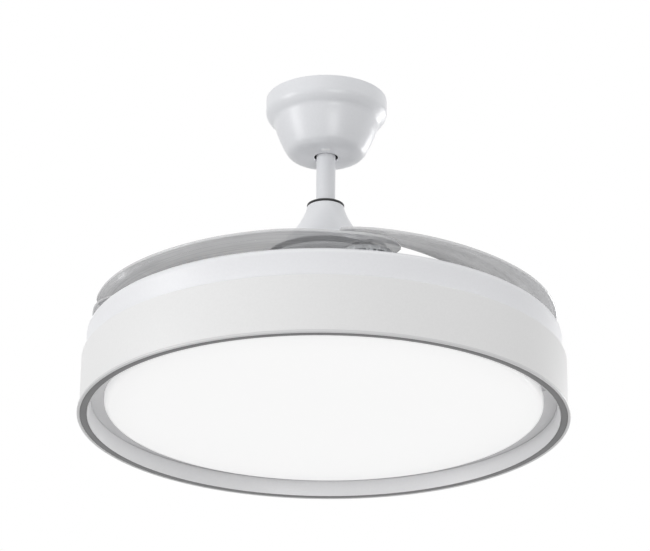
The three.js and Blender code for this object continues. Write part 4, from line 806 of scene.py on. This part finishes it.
def dish_outline():
    """Lower skin of a shallow dome, whose drop falls from the middle with the square of the
    radius, a rounded edge, the side wall, and the same way back."""
    radius = np.linspace(0, DISH_FACE, 40)
    dome = DISH_EDGE - DISH_DOME * (1 - (radius / DISH_RADIUS) ** 2)
    skin = np.column_stack([radius, dome])
    lean = np.linspace(-math.pi / 2, 0, 10)
    edge = np.column_stack([DISH_RADIUS - DISH_ROUND + DISH_ROUND * np.cos(lean),
                            DISH_EDGE - 0.4 + DISH_ROUND * (1 + np.sin(lean))])
    wall = np.array([(DISH_RADIUS, dish_top), (DISH_RADIUS - DISH_WALL, dish_top),
                     (DISH_RADIUS - DISH_WALL, DISH_EDGE + DISH_ROUND)])
    back = np.column_stack([radius, dome + DISH_WALL])[::-1]
    return np.concatenate([skin, edge, wall, back])


def opal_acrylic(name):
    """Opal acrylic lit by the board behind it: even white with a little glow."""
    material = grain(shader(name, (0.9, 0.9, 0.9), 0.4), 120, tint=0.01, rough=0.02)
    surface = material.node_tree.nodes["Principled BSDF"]
    surface.inputs["Emission Color"].default_value = (1, 1, 1, 1)
    surface.inputs["Emission Strength"].default_value = 0.335
    return material


opal = opal_acrylic("opal")
place(turned("opal_dish", dish_outline(), opal, 220), "lens", "opal", "diffuser")

LUG_REACH = 226.8
LUG_ROOT = DISH_RADIUS - DISH_WALL / 2
LUG_HALF_WIDTH = 11.8
LUG_HEIGHT = 2.4
lug_low = lens_high + SEAT_GAP
for lug in range(LUGS):
    block = rounded_block(f"dish_lug_{lug + 1}", ((LUG_REACH - LUG_ROOT) / 2, LUG_HALF_WIDTH),
                          ((LUG_REACH + LUG_ROOT) / 2, 0), lug_low, lug_low + LUG_HEIGHT, 6, 0.5, opal)
    block.data.transform(Matrix.Rotation(math.radians(LUG_TURN + 360 / LUGS * lug), 4, "Z"))
    place(block, "lens", "opal")


# ---------------------------------------------------------------- studio
# A pale floor far below, a white surround, and large soft lamps: left, right behind, low in
# front and above. The floor lies deeper than in a room, so that the fan can also be seen from below.
FLOOR_DEPTH = -7.0
FLOOR_HALF = 14.0
SURROUND = 0.5


def seen_white(tree, shown, lit):
    """Mixes two shaders: rays that see the surface, straight or by reflection, get the first."""
    path = tree.nodes.new("ShaderNodeLightPath")
    two = tree.nodes.new("ShaderNodeMath")
    two.operation = "ADD"
    three = tree.nodes.new("ShaderNodeMath")
    three.operation = "ADD"
    three.use_clamp = True
    mix = tree.nodes.new("ShaderNodeMixShader")
    tree.links.new(path.outputs["Is Camera Ray"], two.inputs[0])
    tree.links.new(path.outputs["Is Glossy Ray"], two.inputs[1])
    tree.links.new(two.outputs["Value"], three.inputs[0])
    tree.links.new(path.outputs["Is Transmission Ray"], three.inputs[1])
    tree.links.new(three.outputs["Value"], mix.inputs["Fac"])
    tree.links.new(lit, mix.inputs[1])
    tree.links.new(shown, mix.inputs[2])
    return mix.outputs["Shader"]


world = bpy.data.worlds.new("surround")
bpy.context.scene.world = world
world.use_nodes = True
tree = world.node_tree
lit = tree.nodes["Background"]
lit.inputs["Color"].default_value = (1, 1, 1, 1)
lit.inputs["Strength"].default_value = SURROUND
shown = tree.nodes.new("ShaderNodeBackground")
shown.inputs["Color"].default_value = (1, 1, 1, 1)
shown.inputs["Strength"].default_value = 1.0
tree.links.new(seen_white(tree, shown.outputs["Background"], lit.outputs["Background"]),
               tree.nodes["World Output"].inputs["Surface"])


floor_paint = shader("floor_paint", (0.9, 0.9, 0.9), 0.9)
tree = floor_paint.node_tree
white = tree.nodes.new("ShaderNodeEmission")
white.inputs["Color"].default_value = (1, 1, 1, 1)
white.inputs["Strength"].default_value = 1.0
tree.links.new(seen_white(tree, white.outputs["Emission"], tree.nodes["Principled BSDF"].outputs["BSDF"]),
               tree.nodes["Material Output"].inputs["Surface"])
floor_data = bpy.data.meshes.new("studio_floor")
floor_data.from_pydata([(x * FLOOR_HALF, y * FLOOR_HALF, FLOOR_DEPTH)
                        for x, y in ((-1, -1), (1, -1), (1, 1), (-1, 1))], [], [(0, 1, 2, 3)])
floor_data.materials.append(floor_paint)
floor = bpy.data.objects.new("studio_floor", floor_data)
bpy.context.scene.collection.objects.link(floor)


def soft_lamp(name, at, aim, size, power):
    """A square area lamp at a point, turned towards another."""
    light = bpy.data.lights.new(name, "AREA")
    light.shape = "RECTANGLE"
    light.size, light.size_y = size
    light.energy = power
    lamp = bpy.data.objects.new(name, light)
    lamp.location = at
    lamp.rotation_euler = (Vector(aim) - Vector(at)).to_track_quat("-Z", "Y").to_euler()
    bpy.context.scene.collection.objects.link(lamp)
    return lamp


AIM = (0, 0, -0.25)
soft_lamp("lamp_left", (-2.9, -0.9, -0.5), AIM, (1.2, 1.8), 34)
soft_lamp("lamp_front", (1.0, -3.1, -1.3), AIM, (1.2, 1.2), 28)
soft_lamp("lamp_right", (1.9, 2.2, -0.4), AIM, (0.8, 1.6), 30)
soft_lamp("lamp_above", (0, -0.6, 2.2), AIM, (2.4, 2.4), 18)
